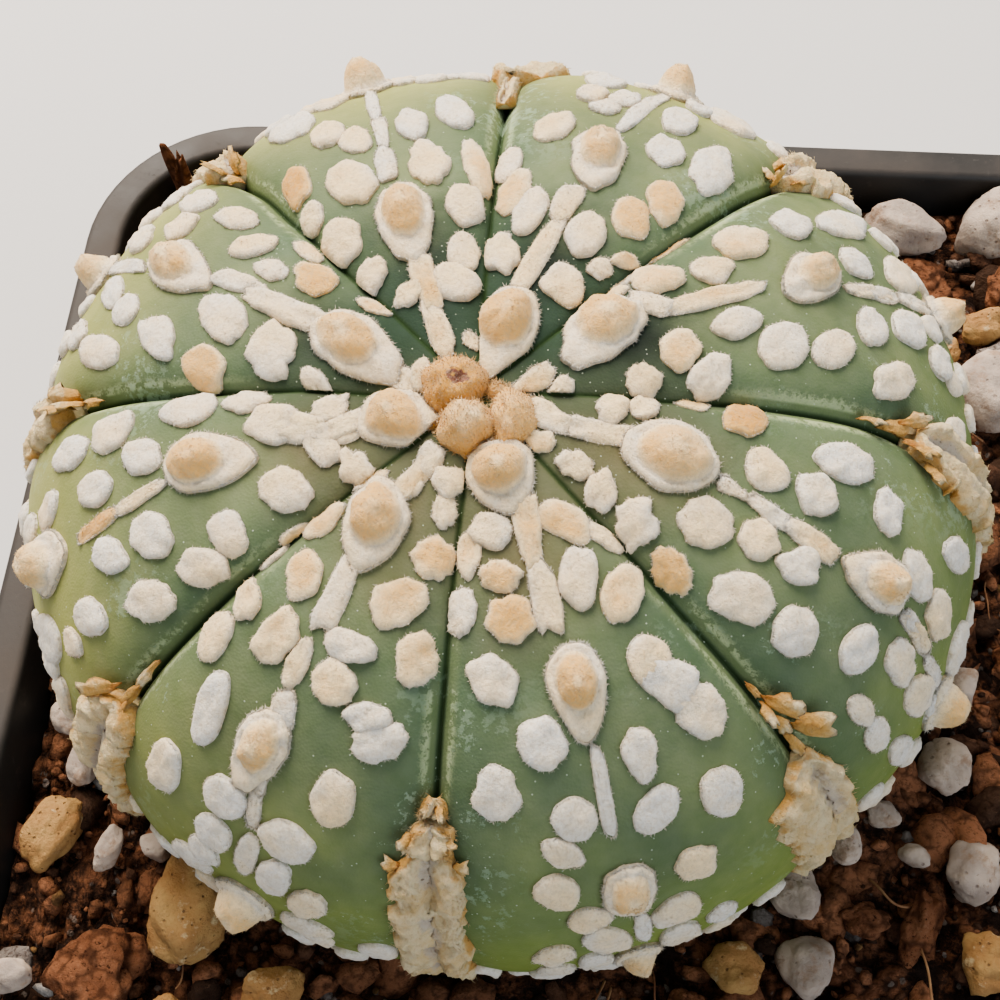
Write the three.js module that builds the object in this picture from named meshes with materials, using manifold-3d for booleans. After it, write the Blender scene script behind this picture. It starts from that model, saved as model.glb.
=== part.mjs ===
// A potted star cactus: a flat-domed desert plant with eight ribs, rooted off-centre in a square
// black nursery pot, with a gritty soil mix and loose pumice, clay and bark on top of the soil.
// Millimetres, +Z up. The origin is the centre of the pot's base, on the surface it stands on.
import * as THREE from "three";
import { mergeVertices } from "three/addons/utils/BufferGeometryUtils.js";
import Module from "manifold-3d";

// ---- Driving dimensions -------------------------------------------------------------------------

const POT_HEIGHT = 80;
const RIM_HALF = 46.5; // half of the pot's width over its rim
const RIM_WIDTH = 3; // the rim's flat top, from its inner to its outer edge
const RIM_DEPTH = 9; // how far the thick rim band reaches down the wall
const RIM_CORNER = 13; // radius of the rim's outer corners
const RIM_EDGE = 0.5; // rounding of the rim's and the foot's edges
const WALL = 1.2;
const FOOT_HALF = 33.5; // half of the pot's width where it stands
const FOOT_CORNER = 9;
const FOOT_WIDTH = 1.6; // the ring that the pot stands on
const FOOT_HEIGHT = 3; // the floor's underside is this far up
const NOTCH_WIDTH = 12; // a drainage gap in the middle of each side of the foot ring
const DRAIN_RADIUS = 4;
const DRAIN_SPACING = 17; // from the pot's centre to a corner drain, along x and along y
const DRAIN_COLUMNS = 20;

const SOIL_DROP = 3; // the soil lies this far below the top of the rim
const SOIL_BUMP = 0.5;
const LONG_WAVE = [0.31, 0.27]; // radians a millimetre along x and along y
const SHORT_WAVE = [0.73, -0.55];
const SHORT_SHARE = 0.6; // height of the short waves beside the long ones
const SOIL_EDGE_DROP = 0.4; // the soil is a little lower against the wall

const PLANT_X = -11; // the plant grows off-centre, towards the back left corner
const PLANT_Y = 8;
const WIDEST_ABOVE_RIM = 7;
const BODY_RADIUS = 31;
const BODY_RISE = 19; // from the widest part up to the crown
const BODY_DROP = 16; // from the widest part down to the root collar
const SIDE_POWER = 2.76; // roundness of the dome in plan direction: 2 would be an ellipse
const TOP_POWER = 2.2; // roundness of the dome upwards
const CROWN_FORWARD = 3.1; // the crown sits nearer the front than the widest part's centre
const LEAN_FORWARD = THREE.MathUtils.degToRad(3.2);
const LEAN_LEFT = THREE.MathUtils.degToRad(3.3);
const FURROW_DEPTH = 2.1;
const FURROW_SHARPNESS = 9;
const SHALLOW_SHARE = 0.45; // share of the furrow's depth that is a long curve, not the crease
const SHALLOW_POWER = 4;
const FURROW_START = 1.6; // how soon the furrows deepen from the crown: full at 90 degrees / this
const UNDER_FROM = 2; // past this angle from the crown, in radians, the furrows fade
const UNDER_SHARE = 0.4;
const ROOT_RADIUS = 9;
const ROOT_LENGTH = 26; // from the root collar down to the root's tip
const ROOT_OVERLAP = 4; // how far the root reaches up into the body
const ROOT_TAPER = [[1, 0.08], [0.75, 0.4], [0.3, 0.8], [0, 1]]; // shares of radius and length

const GAP = 0.35; // between the soil and what it holds, and between the soil and the pot
const SINK = 0.35; // share of a stone's height that lies below the soil's surface

// The furrows' directions, in degrees round the crown from +X. A rib grows between two of them.
const FURROWS = [0, 44, 89.5, 134.5, 179, 222.5, 266.5, 313.5];

// The woolly areoles down the middle of each rib: distance from the crown along the skin, sideways
// share of the half rib, and length. The first rib is the one that starts at the first furrow.
const AREOLES = [
  [[8.5, 0.35, 6], [21, 0.1, 4.5], [33, -0.1, 3.5]],
  [[5.5, 0.25, 5.5], [18.5, 0.1, 4.5], [31, 0, 4]],
  [[13, 0, 5.5], [30.5, -0.05, 4]],
  [[8, -0.1, 6], [21.5, -0.1, 4.5], [31.5, 0, 4]],
  [[4.5, -0.1, 4.5], [15.5, -0.15, 5.5], [28.5, 0, 4]],
  [[9, -0.3, 5.5], [23, -0.05, 5.5], [36, 0, 4]],
  [[5, 0.1, 4], [17.5, 0, 5.5], [29.5, -0.05, 4.5], [37, -0.05, 3.5]],
  [[11.5, 0.3, 6], [24.5, 0, 5], [34, -0.1, 4]],
];
const AREOLE_WIDTH = 3.4;
const AREOLE_HEIGHT = 1.3;

// Corky scars at the outer end of each furrow.
const SCAR_AT = 32; // distance from the crown along the skin
const SCAR_LENGTH = 11;
const SCAR_WIDTH = 5;
const SCAR_HEIGHT = 1.1;

// Loose pieces on the soil: x, y, length, width, height, and turn in degrees.
const PUMICE = [
  [21.5, 40, 7, 4.8, 4.4, 5],
  [30, 40, 6, 5.4, 4.8, 60],
  [27, 23.5, 6.8, 6, 4.8, 100],
  [22.2, -1, 2.8, 2.4, 2.2, 75],
  [20.2, -7, 4, 3.6, 3, 100],
  [15.8, -10.4, 2.4, 2, 1.8, 20],
  [13.2, -12.8, 3, 2.2, 2, 80],
  [9.8, -16, 3.6, 3.2, 2.6, 120],
  [21.8, -13.4, 4.2, 3.8, 3.2, 40],
  [17.8, -13, 2.2, 1.6, 1.4, 150],
  [10.2, -20.4, 4.2, 3.6, 3, 20],
  [11.4, -24.4, 3.6, 2.8, 2.4, 30],
  [-40.8, -6.2, 3, 2.6, 2.2, 160],
  [-39, -9.8, 2.8, 2, 1.8, 100],
  [-36, -15.4, 3, 1.6, 1.6, 60],
  [-32.8, -15, 2.2, 2, 1.8, 0],
  [-40.6, -23.6, 2.8, 2.4, 2, 20],
];
const CLAY = [
  [-40, -14.6, 5.4, 3.2, 3, 60],
  [-29.6, -19, 7.2, 5.6, 4.4, 80],
  [27.2, 29.8, 3.6, 3.2, 2.8, 0],
  [24.2, 27, 2.4, 2, 1.8, 30],
  [21.4, -19.4, 4, 3.4, 3, 100],
  [5.6, -21, 3.4, 3, 2.8, 140],
  [-23.6, -23.6, 4.2, 3, 2.6, 15],
  [-30.6, -25, 2.6, 2.2, 2, 0],
];
const BARK = [
  [23, 33.8, 7, 5, 3, 60],
  [29, 34, 4.6, 2, 1.8, 80],
  [14, -17.4, 2.8, 2, 1.6, 20],
  [17.8, -17.6, 5.6, 2.4, 2, 70],
  [2.2, -23.6, 3, 2, 1.8, 75],
  [25.6, 1, 2.8, 2, 1.6, 80],
  [-35.8, -23, 5.8, 5, 3, 50],
  [-39.2, 39.4, 2, 1.4, 11, 135],
];
// Further pieces lie where a seeded draw puts them, clear of the plant, the wall and each other.
const SCATTER = [
  ["pumice", 6],
  ["clay", 3],
  ["bark", 3],
];
const SCATTER_SIZE = [2.8, 5];
const SCATTER_SPACE = 0.8;
const SCATTER_THICKNESS = { pumice: 0.75, clay: 0.75, bark: 0.5 }; // share of the length
const SCATTER_SEED = 77;
const ROUGHNESS = { pumice: 0.22, clay: 0.2, bark: 0.35 }; // how far a stone's corners move

// ---- Worked out from those ----------------------------------------------------------------------

const RIM_INNER = RIM_HALF - RIM_WIDTH;
const FLOOR_TOP = FOOT_HEIGHT + WALL;
const INNER_FOOT = FOOT_HALF - WALL;
const SOIL_LEVEL = POT_HEIGHT - SOIL_DROP;
const WIDEST_Z = POT_HEIGHT + WIDEST_ABOVE_RIM;

const wasm = await Module();
wasm.setup();

// ---- Solids and meshes --------------------------------------------------------------------------

// A three.js geometry as a solid that can be joined and cut.
function solidFrom(geometry) {
  const bare = new THREE.BufferGeometry();
  bare.setAttribute("position", geometry.getAttribute("position"));
  if (geometry.index) bare.setIndex(geometry.index);
  const merged = mergeVertices(bare, 1e-4);
  return new wasm.Manifold(
    new wasm.Mesh({
      numProp: 3,
      vertProperties: new Float32Array(merged.attributes.position.array),
      triVerts: new Uint32Array(merged.index.array),
    }),
  );
}

function geometryFrom(solid) {
  const { vertProperties, triVerts } = solid.getMesh();
  const geometry = new THREE.BufferGeometry();
  geometry.setAttribute("position", new THREE.BufferAttribute(vertProperties, 3));
  geometry.setIndex(new THREE.BufferAttribute(triVerts, 1));
  return geometry;
}

// The same surface pushed outwards along its normals.
function swollen(geometry, by) {
  const bare = new THREE.BufferGeometry().setAttribute("position", geometry.getAttribute("position"));
  const grown = mergeVertices(bare.setIndex(geometry.index), 1e-4);
  grown.computeVertexNormals();
  const { position, normal } = grown.attributes;
  for (let i = 0; i < position.count; i++) {
    position.setXYZ(
      i,
      position.getX(i) + by * normal.getX(i),
      position.getY(i) + by * normal.getY(i),
      position.getZ(i) + by * normal.getZ(i),
    );
  }
  return grown;
}

// A closed skin over rows of points that each run once round, anticlockwise seen from above. The
// first and last rows are closed with a fan to their middle.
function closedSkin(rows) {
  const around = rows[0].length;
  const points = rows.flat();
  const middle = (row) =>
    row.reduce((sum, p) => sum.add(p), new THREE.Vector3()).divideScalar(around);
  const first = points.push(middle(rows[0])) - 1;
  const last = points.push(middle(rows.at(-1))) - 1;
  const lastRow = (rows.length - 1) * around;
  const faces = [];
  for (let i = 0; i < around; i++) {
    const next = (i + 1) % around;
    for (let row = 0; row + 1 < rows.length; row++) {
      const low = row * around;
      const high = low + around;
      faces.push(low + i, low + next, high + next);
      faces.push(low + i, high + next, high + i);
    }
    faces.push(first, next, i);
    faces.push(last, lastRow + i, lastRow + next);
  }
  return new THREE.BufferGeometry().setFromPoints(points).setIndex(faces);
}

// ---- Pot ----------------------------------------------------------------------------------------

const CORNER_STEPS = 5;
const SIDE_STEPS = 3;

// A square with round corners at height z, as points along its sides and corner arcs.
function roundedSquare(half, radius, z) {
  const points = [];
  for (let side = 0; side < 4; side++) {
    const turn = (side * Math.PI) / 2;
    const straight = half - radius;
    const corner = [];
    for (let i = 0; i <= CORNER_STEPS; i++) {
      const angle = (i / CORNER_STEPS) * (Math.PI / 2);
      corner.push([straight + radius * Math.cos(angle), straight + radius * Math.sin(angle)]);
    }
    for (let i = 1; i < SIDE_STEPS; i++) {
      corner.push([straight - (2 * straight * i) / SIDE_STEPS, half]);
    }
    for (const [x, y] of corner) {
      points.push(
        new THREE.Vector3(
          x * Math.cos(turn) - y * Math.sin(turn),
          x * Math.sin(turn) + y * Math.cos(turn),
          z,
        ),
      );
    }
  }
  return points;
}

// Half width and corner radius of the tapered wall's inner face at height z.
function innerWall(z) {
  const rise = (z - FLOOR_TOP) / (POT_HEIGHT - FLOOR_TOP);
  return {
    half: THREE.MathUtils.lerp(INNER_FOOT, RIM_INNER, rise),
    corner: THREE.MathUtils.lerp(FOOT_CORNER - WALL, RIM_CORNER - RIM_WIDTH, rise),
  };
}

function pot() {
  const edge = RIM_EDGE;
  const bandBottom = POT_HEIGHT - RIM_DEPTH;
  const wallUnderBand = innerWall(bandBottom);
  const rows = [
    [FOOT_HALF - FOOT_WIDTH, FOOT_CORNER - FOOT_WIDTH, FOOT_HEIGHT],
    [FOOT_HALF - FOOT_WIDTH, FOOT_CORNER - FOOT_WIDTH, 0],
    [FOOT_HALF - edge, FOOT_CORNER - edge, 0],
    [FOOT_HALF, FOOT_CORNER, edge],
    [wallUnderBand.half + WALL, wallUnderBand.corner + WALL, bandBottom],
    [RIM_HALF - edge, RIM_CORNER - edge, bandBottom],
    [RIM_HALF, RIM_CORNER, bandBottom + edge],
    [RIM_HALF, RIM_CORNER, POT_HEIGHT - edge],
    [RIM_HALF - edge, RIM_CORNER - edge, POT_HEIGHT],
    [RIM_INNER + edge, RIM_CORNER - RIM_WIDTH + edge, POT_HEIGHT],
    [RIM_INNER, RIM_CORNER - RIM_WIDTH, POT_HEIGHT - edge],
    [INNER_FOOT, FOOT_CORNER - WALL, FLOOR_TOP],
  ].map(([half, radius, z]) => roundedSquare(half, radius, z));
  let shell = solidFrom(closedSkin(rows));

  const drainSize = [DRAIN_RADIUS, DRAIN_RADIUS, 4 * FOOT_HEIGHT];
  const drain = new THREE.CylinderGeometry(...drainSize, DRAIN_COLUMNS);
  drain.rotateX(Math.PI / 2);
  const drainSpots = [[0, 0]];
  for (const x of [-DRAIN_SPACING, DRAIN_SPACING]) {
    for (const y of [-DRAIN_SPACING, DRAIN_SPACING]) drainSpots.push([x, y]);
  }
  for (const [x, y] of drainSpots) {
    shell = shell.subtract(solidFrom(drain.clone().translate(x, y, 0)));
  }
  for (const turn of [0, Math.PI / 2]) {
    const notch = new THREE.BoxGeometry(NOTCH_WIDTH, 4 * FOOT_HALF, 2 * (FOOT_HEIGHT - WALL));
    shell = shell.subtract(solidFrom(notch.rotateZ(turn)));
  }
  return shell;
}

// ---- Plant --------------------------------------------------------------------------------------

const RIB_COLUMNS = [-1, -0.93, -0.8, -0.5, 0, 0.5, 0.8, 0.93]; // sideways shares of the half rib
const DOME_ROWS = 10;
const UNDER_ROWS = 5;
const UNDER_END = THREE.MathUtils.degToRad(155); // where the body's underside meets the root
const WALK_STEP = 0.004; // radians, for measuring distances along the skin
const NEARBY_ANGLE = 0.05; // how far round a spot its slope is taken, down the rib and sideways
const NEARBY_SHARE = 0.02;
const BESIDE_FURROW = -0.999; // sideways share
const PAD_COLUMNS = 7;
const PAD_ROWS = 5;
const ROOT_COLUMNS = 16;
const ROOT_ROWS = 6;

// Radius and height of the body's outline at an angle from the crown (0) past the widest part
// (a quarter turn) towards the root collar: a superellipse, deeper below than above.
function outline(angle) {
  const up = Math.cos(angle);
  return {
    radius: BODY_RADIUS * Math.abs(Math.sin(angle)) ** (2 / SIDE_POWER),
    height: (up > 0 ? BODY_RISE : -BODY_DROP) * Math.abs(up) ** (2 / TOP_POWER),
  };
}

// The start and the width of a rib, in degrees.
function ribSpan(rib) {
  const start = FURROWS[rib];
  const end = rib + 1 < FURROWS.length ? FURROWS[rib + 1] : FURROWS[0] + 360;
  return { start, width: end - start };
}

// A point of the skin, in the plant's own frame. across runs from -1 at one furrow to 1 at the next.
// The skin dips towards each furrow in a long shallow curve that ends in a sharp crease.
function skinPoint(angle, rib, across) {
  const { start, width } = ribSpan(rib);
  const azimuth = THREE.MathUtils.degToRad(start + ((across + 1) / 2) * width);
  const { radius, height } = outline(angle);
  const under = angle > UNDER_FROM ? UNDER_SHARE : 1;
  const fade = Math.sin(Math.min(angle * FURROW_START, Math.PI / 2)) * under;
  const side = Math.abs(across);
  const crease = Math.exp(-FURROW_SHARPNESS * (1 - side));
  const dip = FURROW_DEPTH * fade * THREE.MathUtils.lerp(crease, side ** SHALLOW_POWER, SHALLOW_SHARE);
  const share = radius / BODY_RADIUS;
  const inwards = radius - dip * share;
  return new THREE.Vector3(
    inwards * Math.cos(azimuth),
    inwards * Math.sin(azimuth) - CROWN_FORWARD * (height > 0 ? 1 - share ** 2 : 0),
    height - dip * (1 - share) * (height > 0 ? 1 : 0),
  );
}

// The outline's angle at a distance from the crown along the skin.
function angleAt(distance) {
  let walked = 0;
  let angle = WALK_STEP;
  let from = outline(angle);
  while (walked < distance) {
    angle += WALK_STEP;
    const to = outline(angle);
    walked += Math.hypot(to.radius - from.radius, to.height - from.height);
    from = to;
  }
  return angle;
}

// A low oval dome that sits on the skin, long way down the rib.
function pad(rib, distance, across, length, width, height) {
  const angle = angleAt(distance);
  const spot = skinPoint(angle, rib, across);
  const down = skinPoint(angle + NEARBY_ANGLE, rib, across);
  down.sub(skinPoint(angle - NEARBY_ANGLE, rib, across));
  const sideways = skinPoint(angle, rib, across + NEARBY_SHARE);
  sideways.sub(skinPoint(angle, rib, across - NEARBY_SHARE));
  down.normalize();
  const out = down.clone().cross(sideways).normalize();
  sideways.crossVectors(out, down);
  const place = new THREE.Matrix4().makeBasis(down, sideways, out).setPosition(spot);
  const dome = new THREE.SphereGeometry(1, PAD_COLUMNS, PAD_ROWS);
  return dome.scale(length / 2, width / 2, height).applyMatrix4(place);
}

function taproot() {
  const top = ROOT_OVERLAP - BODY_DROP;
  const profile = new THREE.SplineCurve(
    ROOT_TAPER.map(
      ([wide, deep]) => new THREE.Vector2(ROOT_RADIUS * wide, top - ROOT_LENGTH * deep),
    ),
  ).getPoints(ROOT_ROWS);
  const closed = [new THREE.Vector2(0, top), ...profile].reverse();
  return new THREE.LatheGeometry(closed, ROOT_COLUMNS).rotateX(Math.PI / 2);
}

function skin() {
  const widest = Math.PI / 2;
  const angles = [];
  for (let row = UNDER_ROWS; row >= 1; row--) {
    angles.push(THREE.MathUtils.lerp(widest, UNDER_END, row / UNDER_ROWS));
  }
  for (let row = DOME_ROWS; row >= 1; row--) angles.push((widest * row) / DOME_ROWS);
  const ring = (angle) =>
    FURROWS.flatMap((_, rib) => RIB_COLUMNS.map((across) => skinPoint(angle, rib, across)));
  return closedSkin(angles.map(ring));
}

// The whole plant, grown by a clearance where it has to be the shape of its socket in the soil.
function cactus(clearance = 0) {
  const parts = [skin(), taproot()];
  for (let rib = 0; rib < FURROWS.length; rib++) {
    for (const [distance, across, length] of AREOLES[rib]) {
      parts.push(pad(rib, distance, across, length, AREOLE_WIDTH, AREOLE_HEIGHT));
    }
    const high = SCAR_HEIGHT + FURROW_DEPTH;
    parts.push(pad(rib, SCAR_AT, BESIDE_FURROW, SCAR_LENGTH, SCAR_WIDTH, high));
  }
  const geometry = geometryFrom(
    parts.map((part) => solidFrom(swollen(part, clearance))).reduce((a, b) => a.add(b)),
  );
  return geometry.rotateX(LEAN_FORWARD).rotateY(-LEAN_LEFT).translate(PLANT_X, PLANT_Y, WIDEST_Z);
}

// ---- Loose pieces -------------------------------------------------------------------------------

// Numbers between 0 and 1 that come out the same on every run.
function drawer(seed) {
  const factor = 1103515245;
  const step = 12345;
  const range = 2 ** 31;
  let state = seed;
  return () => {
    state = (state * factor + step) % range;
    return state / range;
  };
}

function soilHeight(x, y) {
  const long = Math.sin(x * LONG_WAVE[0] + 1) * Math.cos(y * LONG_WAVE[1]);
  const short = Math.sin(x * SHORT_WAVE[0] + y * SHORT_WAVE[1]);
  return SOIL_LEVEL + SOIL_BUMP * (long + SHORT_SHARE * short);
}

// An uneven stone: a subdivided icosahedron whose corners move in and out, stretched to its size.
function stone(x, y, length, width, height, turn, roughness, seed) {
  const ball = new THREE.IcosahedronGeometry(0.5, 1);
  const shape = mergeVertices(ball.deleteAttribute("normal").deleteAttribute("uv"));
  const draw = drawer(seed);
  const { position } = shape.attributes;
  for (let i = 0; i < position.count; i++) {
    const reach = 1 + roughness * (draw() - 0.5);
    position.setXYZ(i, position.getX(i) * reach, position.getY(i) * reach, position.getZ(i) * reach);
  }
  shape.scale(length, width, height).rotateZ(THREE.MathUtils.degToRad(turn));
  return shape.translate(x, y, soilHeight(x, y) + height * (0.5 - SINK));
}

// The listed pieces and then the scattered ones, as {kind, x, y, length, width, height, turn}.
function looseRows() {
  const keys = ["x", "y", "length", "width", "height", "turn"];
  const named = (kind, rows) =>
    rows.map((row) => ({ kind, ...Object.fromEntries(keys.map((key, i) => [key, row[i]])) }));
  const laid = [...named("pumice", PUMICE), ...named("clay", CLAY), ...named("bark", BARK)];
  const draw = drawer(SCATTER_SEED);
  const [smallest, largest] = SCATTER_SIZE;
  const wall = innerWall(SOIL_LEVEL);
  const straight = wall.half - wall.corner;
  for (const [kind, count] of SCATTER) {
    let placed = 0;
    while (placed < count) {
      const length = THREE.MathUtils.lerp(smallest, largest, draw());
      const reach = wall.half - length / 2 - SCATTER_SPACE;
      const x = (2 * draw() - 1) * reach;
      const y = (2 * draw() - 1) * reach;
      const thick = length * SCATTER_THICKNESS[kind];
      const piece = { kind, x, y, length, width: thick, height: thick, turn: 180 * draw() };
      const fromPlant = Math.hypot(x - PLANT_X, y - PLANT_Y) - length / 2;
      const cornered = Math.hypot(
        Math.max(Math.abs(x) - straight, 0),
        Math.max(Math.abs(y) - straight, 0),
      );
      const walled = cornered > wall.corner - length / 2 - SCATTER_SPACE;
      const clear = laid.every(
        (other) => Math.hypot(x - other.x, y - other.y) > (length + other.length) / 2 + SCATTER_SPACE,
      );
      if (fromPlant < BODY_RADIUS + SCATTER_SPACE || walled || !clear) continue;
      laid.push(piece);
      placed += 1;
    }
  }
  return laid;
}

function loosePieces() {
  const counts = {};
  return looseRows().map(({ kind, x, y, length, width, height, turn }, index) => {
    counts[kind] = (counts[kind] ?? 0) + 1;
    const name = kind + "_" + String(counts[kind]).padStart(2, "0");
    const geometry = stone(x, y, length, width, height, turn, ROUGHNESS[kind], index + 1);
    return { name, kind, geometry };
  });
}

// ---- Soil ---------------------------------------------------------------------------------------

const SOIL_RINGS = 8;

// The fill of the pot, with a socket round the plant and under each loose piece.
function soil(loose) {
  const bottom = FLOOR_TOP + GAP;
  const low = innerWall(bottom);
  const top = innerWall(SOIL_LEVEL);
  const rows = [roundedSquare(low.half - GAP, low.corner - GAP, bottom)];
  const edge = roundedSquare(top.half - GAP, top.corner - GAP, 0);
  for (let ring = SOIL_RINGS; ring >= 1; ring--) {
    const share = ring / SOIL_RINGS;
    rows.push(
      edge.map((p) => {
        const x = p.x * share;
        const y = p.y * share;
        const z = ring === SOIL_RINGS ? SOIL_LEVEL - SOIL_EDGE_DROP : soilHeight(x, y);
        return new THREE.Vector3(x, y, z);
      }),
    );
  }
  let fill = solidFrom(closedSkin(rows)).subtract(solidFrom(cactus(GAP)));
  for (const piece of loose) {
    fill = fill.subtract(solidFrom(swollen(piece.geometry, GAP)));
  }
  return fill.decompose().sort((a, b) => b.volume() - a.volume())[0];
}

// ---- The object ---------------------------------------------------------------------------------

const MATERIALS = {
  pot: new THREE.MeshStandardMaterial({ color: "#1d1c1b", roughness: 0.55 }),
  soil: new THREE.MeshStandardMaterial({ color: "#4a2a1a", roughness: 1 }),
  cactus: new THREE.MeshStandardMaterial({ color: "#5f8050", roughness: 0.6 }),
  pumice: new THREE.MeshStandardMaterial({ color: "#bdb5ac", roughness: 0.95 }),
  clay: new THREE.MeshStandardMaterial({ color: "#b58b4c", roughness: 0.95 }),
  bark: new THREE.MeshStandardMaterial({ color: "#7c452c", roughness: 0.95 }),
};

function named(name, geometry, material) {
  const mesh = new THREE.Mesh(geometry, material);
  mesh.name = name;
  return mesh;
}

const loose = loosePieces();
const object = new THREE.Group();
object.add(named("pot", geometryFrom(pot()), MATERIALS.pot));
object.add(named("soil", geometryFrom(soil(loose)), MATERIALS.soil));
object.add(named("cactus", cactus(), MATERIALS.cactus));
for (const { name, kind, geometry } of loose) {
  object.add(named(name, geometry, MATERIALS[kind]));
}

export default object;
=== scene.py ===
# %% [markdown]
# # A potted star cactus
# A star cactus is a spineless desert plant: a flat dome of eight broad ribs, felted with round
# tufts of white wool. This one grows off-centre in a square black nursery pot of gritty soil.
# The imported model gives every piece's place and size; the cells below give each piece its
# surface and its finish. Lengths are in millimetres until a mesh is made, and then in metres.

# %% Frame
import math

import bpy
import numpy as np
from mathutils import Matrix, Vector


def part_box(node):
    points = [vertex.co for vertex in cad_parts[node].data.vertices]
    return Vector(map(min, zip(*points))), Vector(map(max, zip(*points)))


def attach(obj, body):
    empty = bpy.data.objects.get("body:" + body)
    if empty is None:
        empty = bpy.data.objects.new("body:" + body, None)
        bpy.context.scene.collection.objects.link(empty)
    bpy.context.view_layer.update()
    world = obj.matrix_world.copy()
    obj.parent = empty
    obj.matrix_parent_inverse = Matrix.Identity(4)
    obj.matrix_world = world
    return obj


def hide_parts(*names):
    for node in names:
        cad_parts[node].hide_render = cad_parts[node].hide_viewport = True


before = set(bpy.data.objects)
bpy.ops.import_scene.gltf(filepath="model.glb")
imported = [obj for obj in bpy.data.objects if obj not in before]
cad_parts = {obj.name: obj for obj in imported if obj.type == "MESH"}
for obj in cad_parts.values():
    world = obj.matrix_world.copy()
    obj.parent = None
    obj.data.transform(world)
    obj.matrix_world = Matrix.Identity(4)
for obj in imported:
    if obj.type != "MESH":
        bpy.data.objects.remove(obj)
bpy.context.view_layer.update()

MM = 0.001

# %% [markdown]
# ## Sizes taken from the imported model
# The pot stands at the origin, so its box gives its width and height. The plant was set out on
# whole millimetres, so the middle of its box, rounded, is the axis it grows round. What a box
# can't tell, such as how far the soil lies below the rim, is given here as a plain number.

# %% Sizes
pot_corner = np.array(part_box("pot")[1]) / MM
plant_low, plant_high = (np.array(corner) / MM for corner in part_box("cactus"))

POT_HEIGHT = pot_corner[2]
RIM_HALF = pot_corner[0]
SOIL_DROP = 3.0  # from the rim down to the soil
SOIL_LEVEL = POT_HEIGHT - SOIL_DROP
WIDEST_ABOVE_RIM = 7.0
PLANT = np.array([*np.round((plant_low + plant_high)[:2] / 2), POT_HEIGHT + WIDEST_ABOVE_RIM])
BODY_RADIUS = 31.0
BODY_RISE = 19.0  # from the widest part up to the crown
BODY_DROP = 16.0  # and how far down the underside's curve would go
print("rim half width", RIM_HALF, "plant axis", PLANT, "soil level", SOIL_LEVEL)

# %% [markdown]
# ## Camera
# The view is the one a person has who leans over the pot with a phone: close, and from well above
# the front edge. The lens is a normal one, so the distance is what gives the strong perspective.

# %% Camera
CAMERA_AZIMUTH = math.radians(2.9)
CAMERA_ELEVATION = math.radians(62.7)
CAMERA_DISTANCE = 88.4  # from the middle of the plant's widest plane
CAMERA_LENS = 46.8
AIM_BELOW = 0.7  # how far below that middle the view is centred
NEAREST = 0.005  # what lies between these two distances in metres is drawn
FARTHEST = 20.0


def put_in(name, data):
    """A new object in the scene that shows a mesh, a lamp or a camera."""
    made = bpy.data.objects.new(name, data)
    bpy.context.scene.collection.objects.link(made)
    return made


def turn_to(made, place, right, up, back):
    """Puts an object at a place in metres, with its own three directions along these."""
    pose = np.eye(4)
    pose[:3, :3] = np.stack([right, up, back], axis=1)
    pose[:3, 3] = place
    made.matrix_world = Matrix(pose.tolist())


sine, cosine = math.sin(CAMERA_AZIMUTH), math.cos(CAMERA_AZIMUTH)
flat = math.cos(CAMERA_ELEVATION)
back = np.array([sine * flat, -cosine * flat, math.sin(CAMERA_ELEVATION)])
right = np.array([cosine, sine, 0.0])
up = np.cross(back, right)
camera = put_in("camera", bpy.data.cameras.new("camera"))
camera.data.lens = CAMERA_LENS
camera.data.clip_start = NEAREST
camera.data.clip_end = FARTHEST
camera_place = (PLANT - AIM_BELOW * up + CAMERA_DISTANCE * back) * MM
turn_to(camera, camera_place, right, up, back)
bpy.context.scene.camera = camera
print("camera at", np.round(camera_place, 4))

# %% [markdown]
# ## Light
# A large warm soft box stands behind and to the left of the plant, so that the felt tufts keep a
# soft shaded side. A cooler, weaker one fills from the right, and an even pale world lifts the
# shadows between the stones.

# %% Light
WORLD_COLOUR = (0.92, 0.95, 1.0, 1.0)
WORLD_STRENGTH = 0.45
bpy.context.scene.view_settings.view_transform = "AgX"
bpy.context.scene.view_settings.look = "AgX - Medium High Contrast"
world = bpy.data.worlds.new("studio")
bpy.context.scene.world = world
world.use_nodes = True
sky = world.node_tree.nodes["Background"].inputs
sky["Color"].default_value = WORLD_COLOUR
sky["Strength"].default_value = WORLD_STRENGTH


def soft_box(name, place, size, watts, colour):
    """A square area light at a place that faces the plant. Its place and size are in metres."""
    light = bpy.data.lights.new(name, "AREA")
    light.size = size
    light.energy = watts
    light.color = colour
    lamp = put_in(name, light)
    direction = np.array(place) - PLANT * MM
    direction /= np.linalg.norm(direction)
    side = np.cross([0.0, 0.0, 1.0], direction)
    side /= np.linalg.norm(side)
    turn_to(lamp, place, side, np.cross(direction, side), direction)
    print(name, "light,", watts, "watts")


soft_box("key", (-0.24, 0.50, 0.58), 0.56, 14.5, (1.0, 0.90, 0.79))
soft_box("fill", (0.45, -0.55, 0.50), 0.70, 3.0, (0.80, 0.90, 1.0))

# %% [markdown]
# ## Making meshes
# Nearly everything here is one kind of shape: rings of points that run once round and are closed
# by a pole at each end, such as a stone, a tuft of wool or the body itself. One function makes the
# faces for any number of such shapes at once, and another puts points and faces into a mesh.
# Nothing that grows or crumbles is even, so a third gives it bumps.

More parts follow.
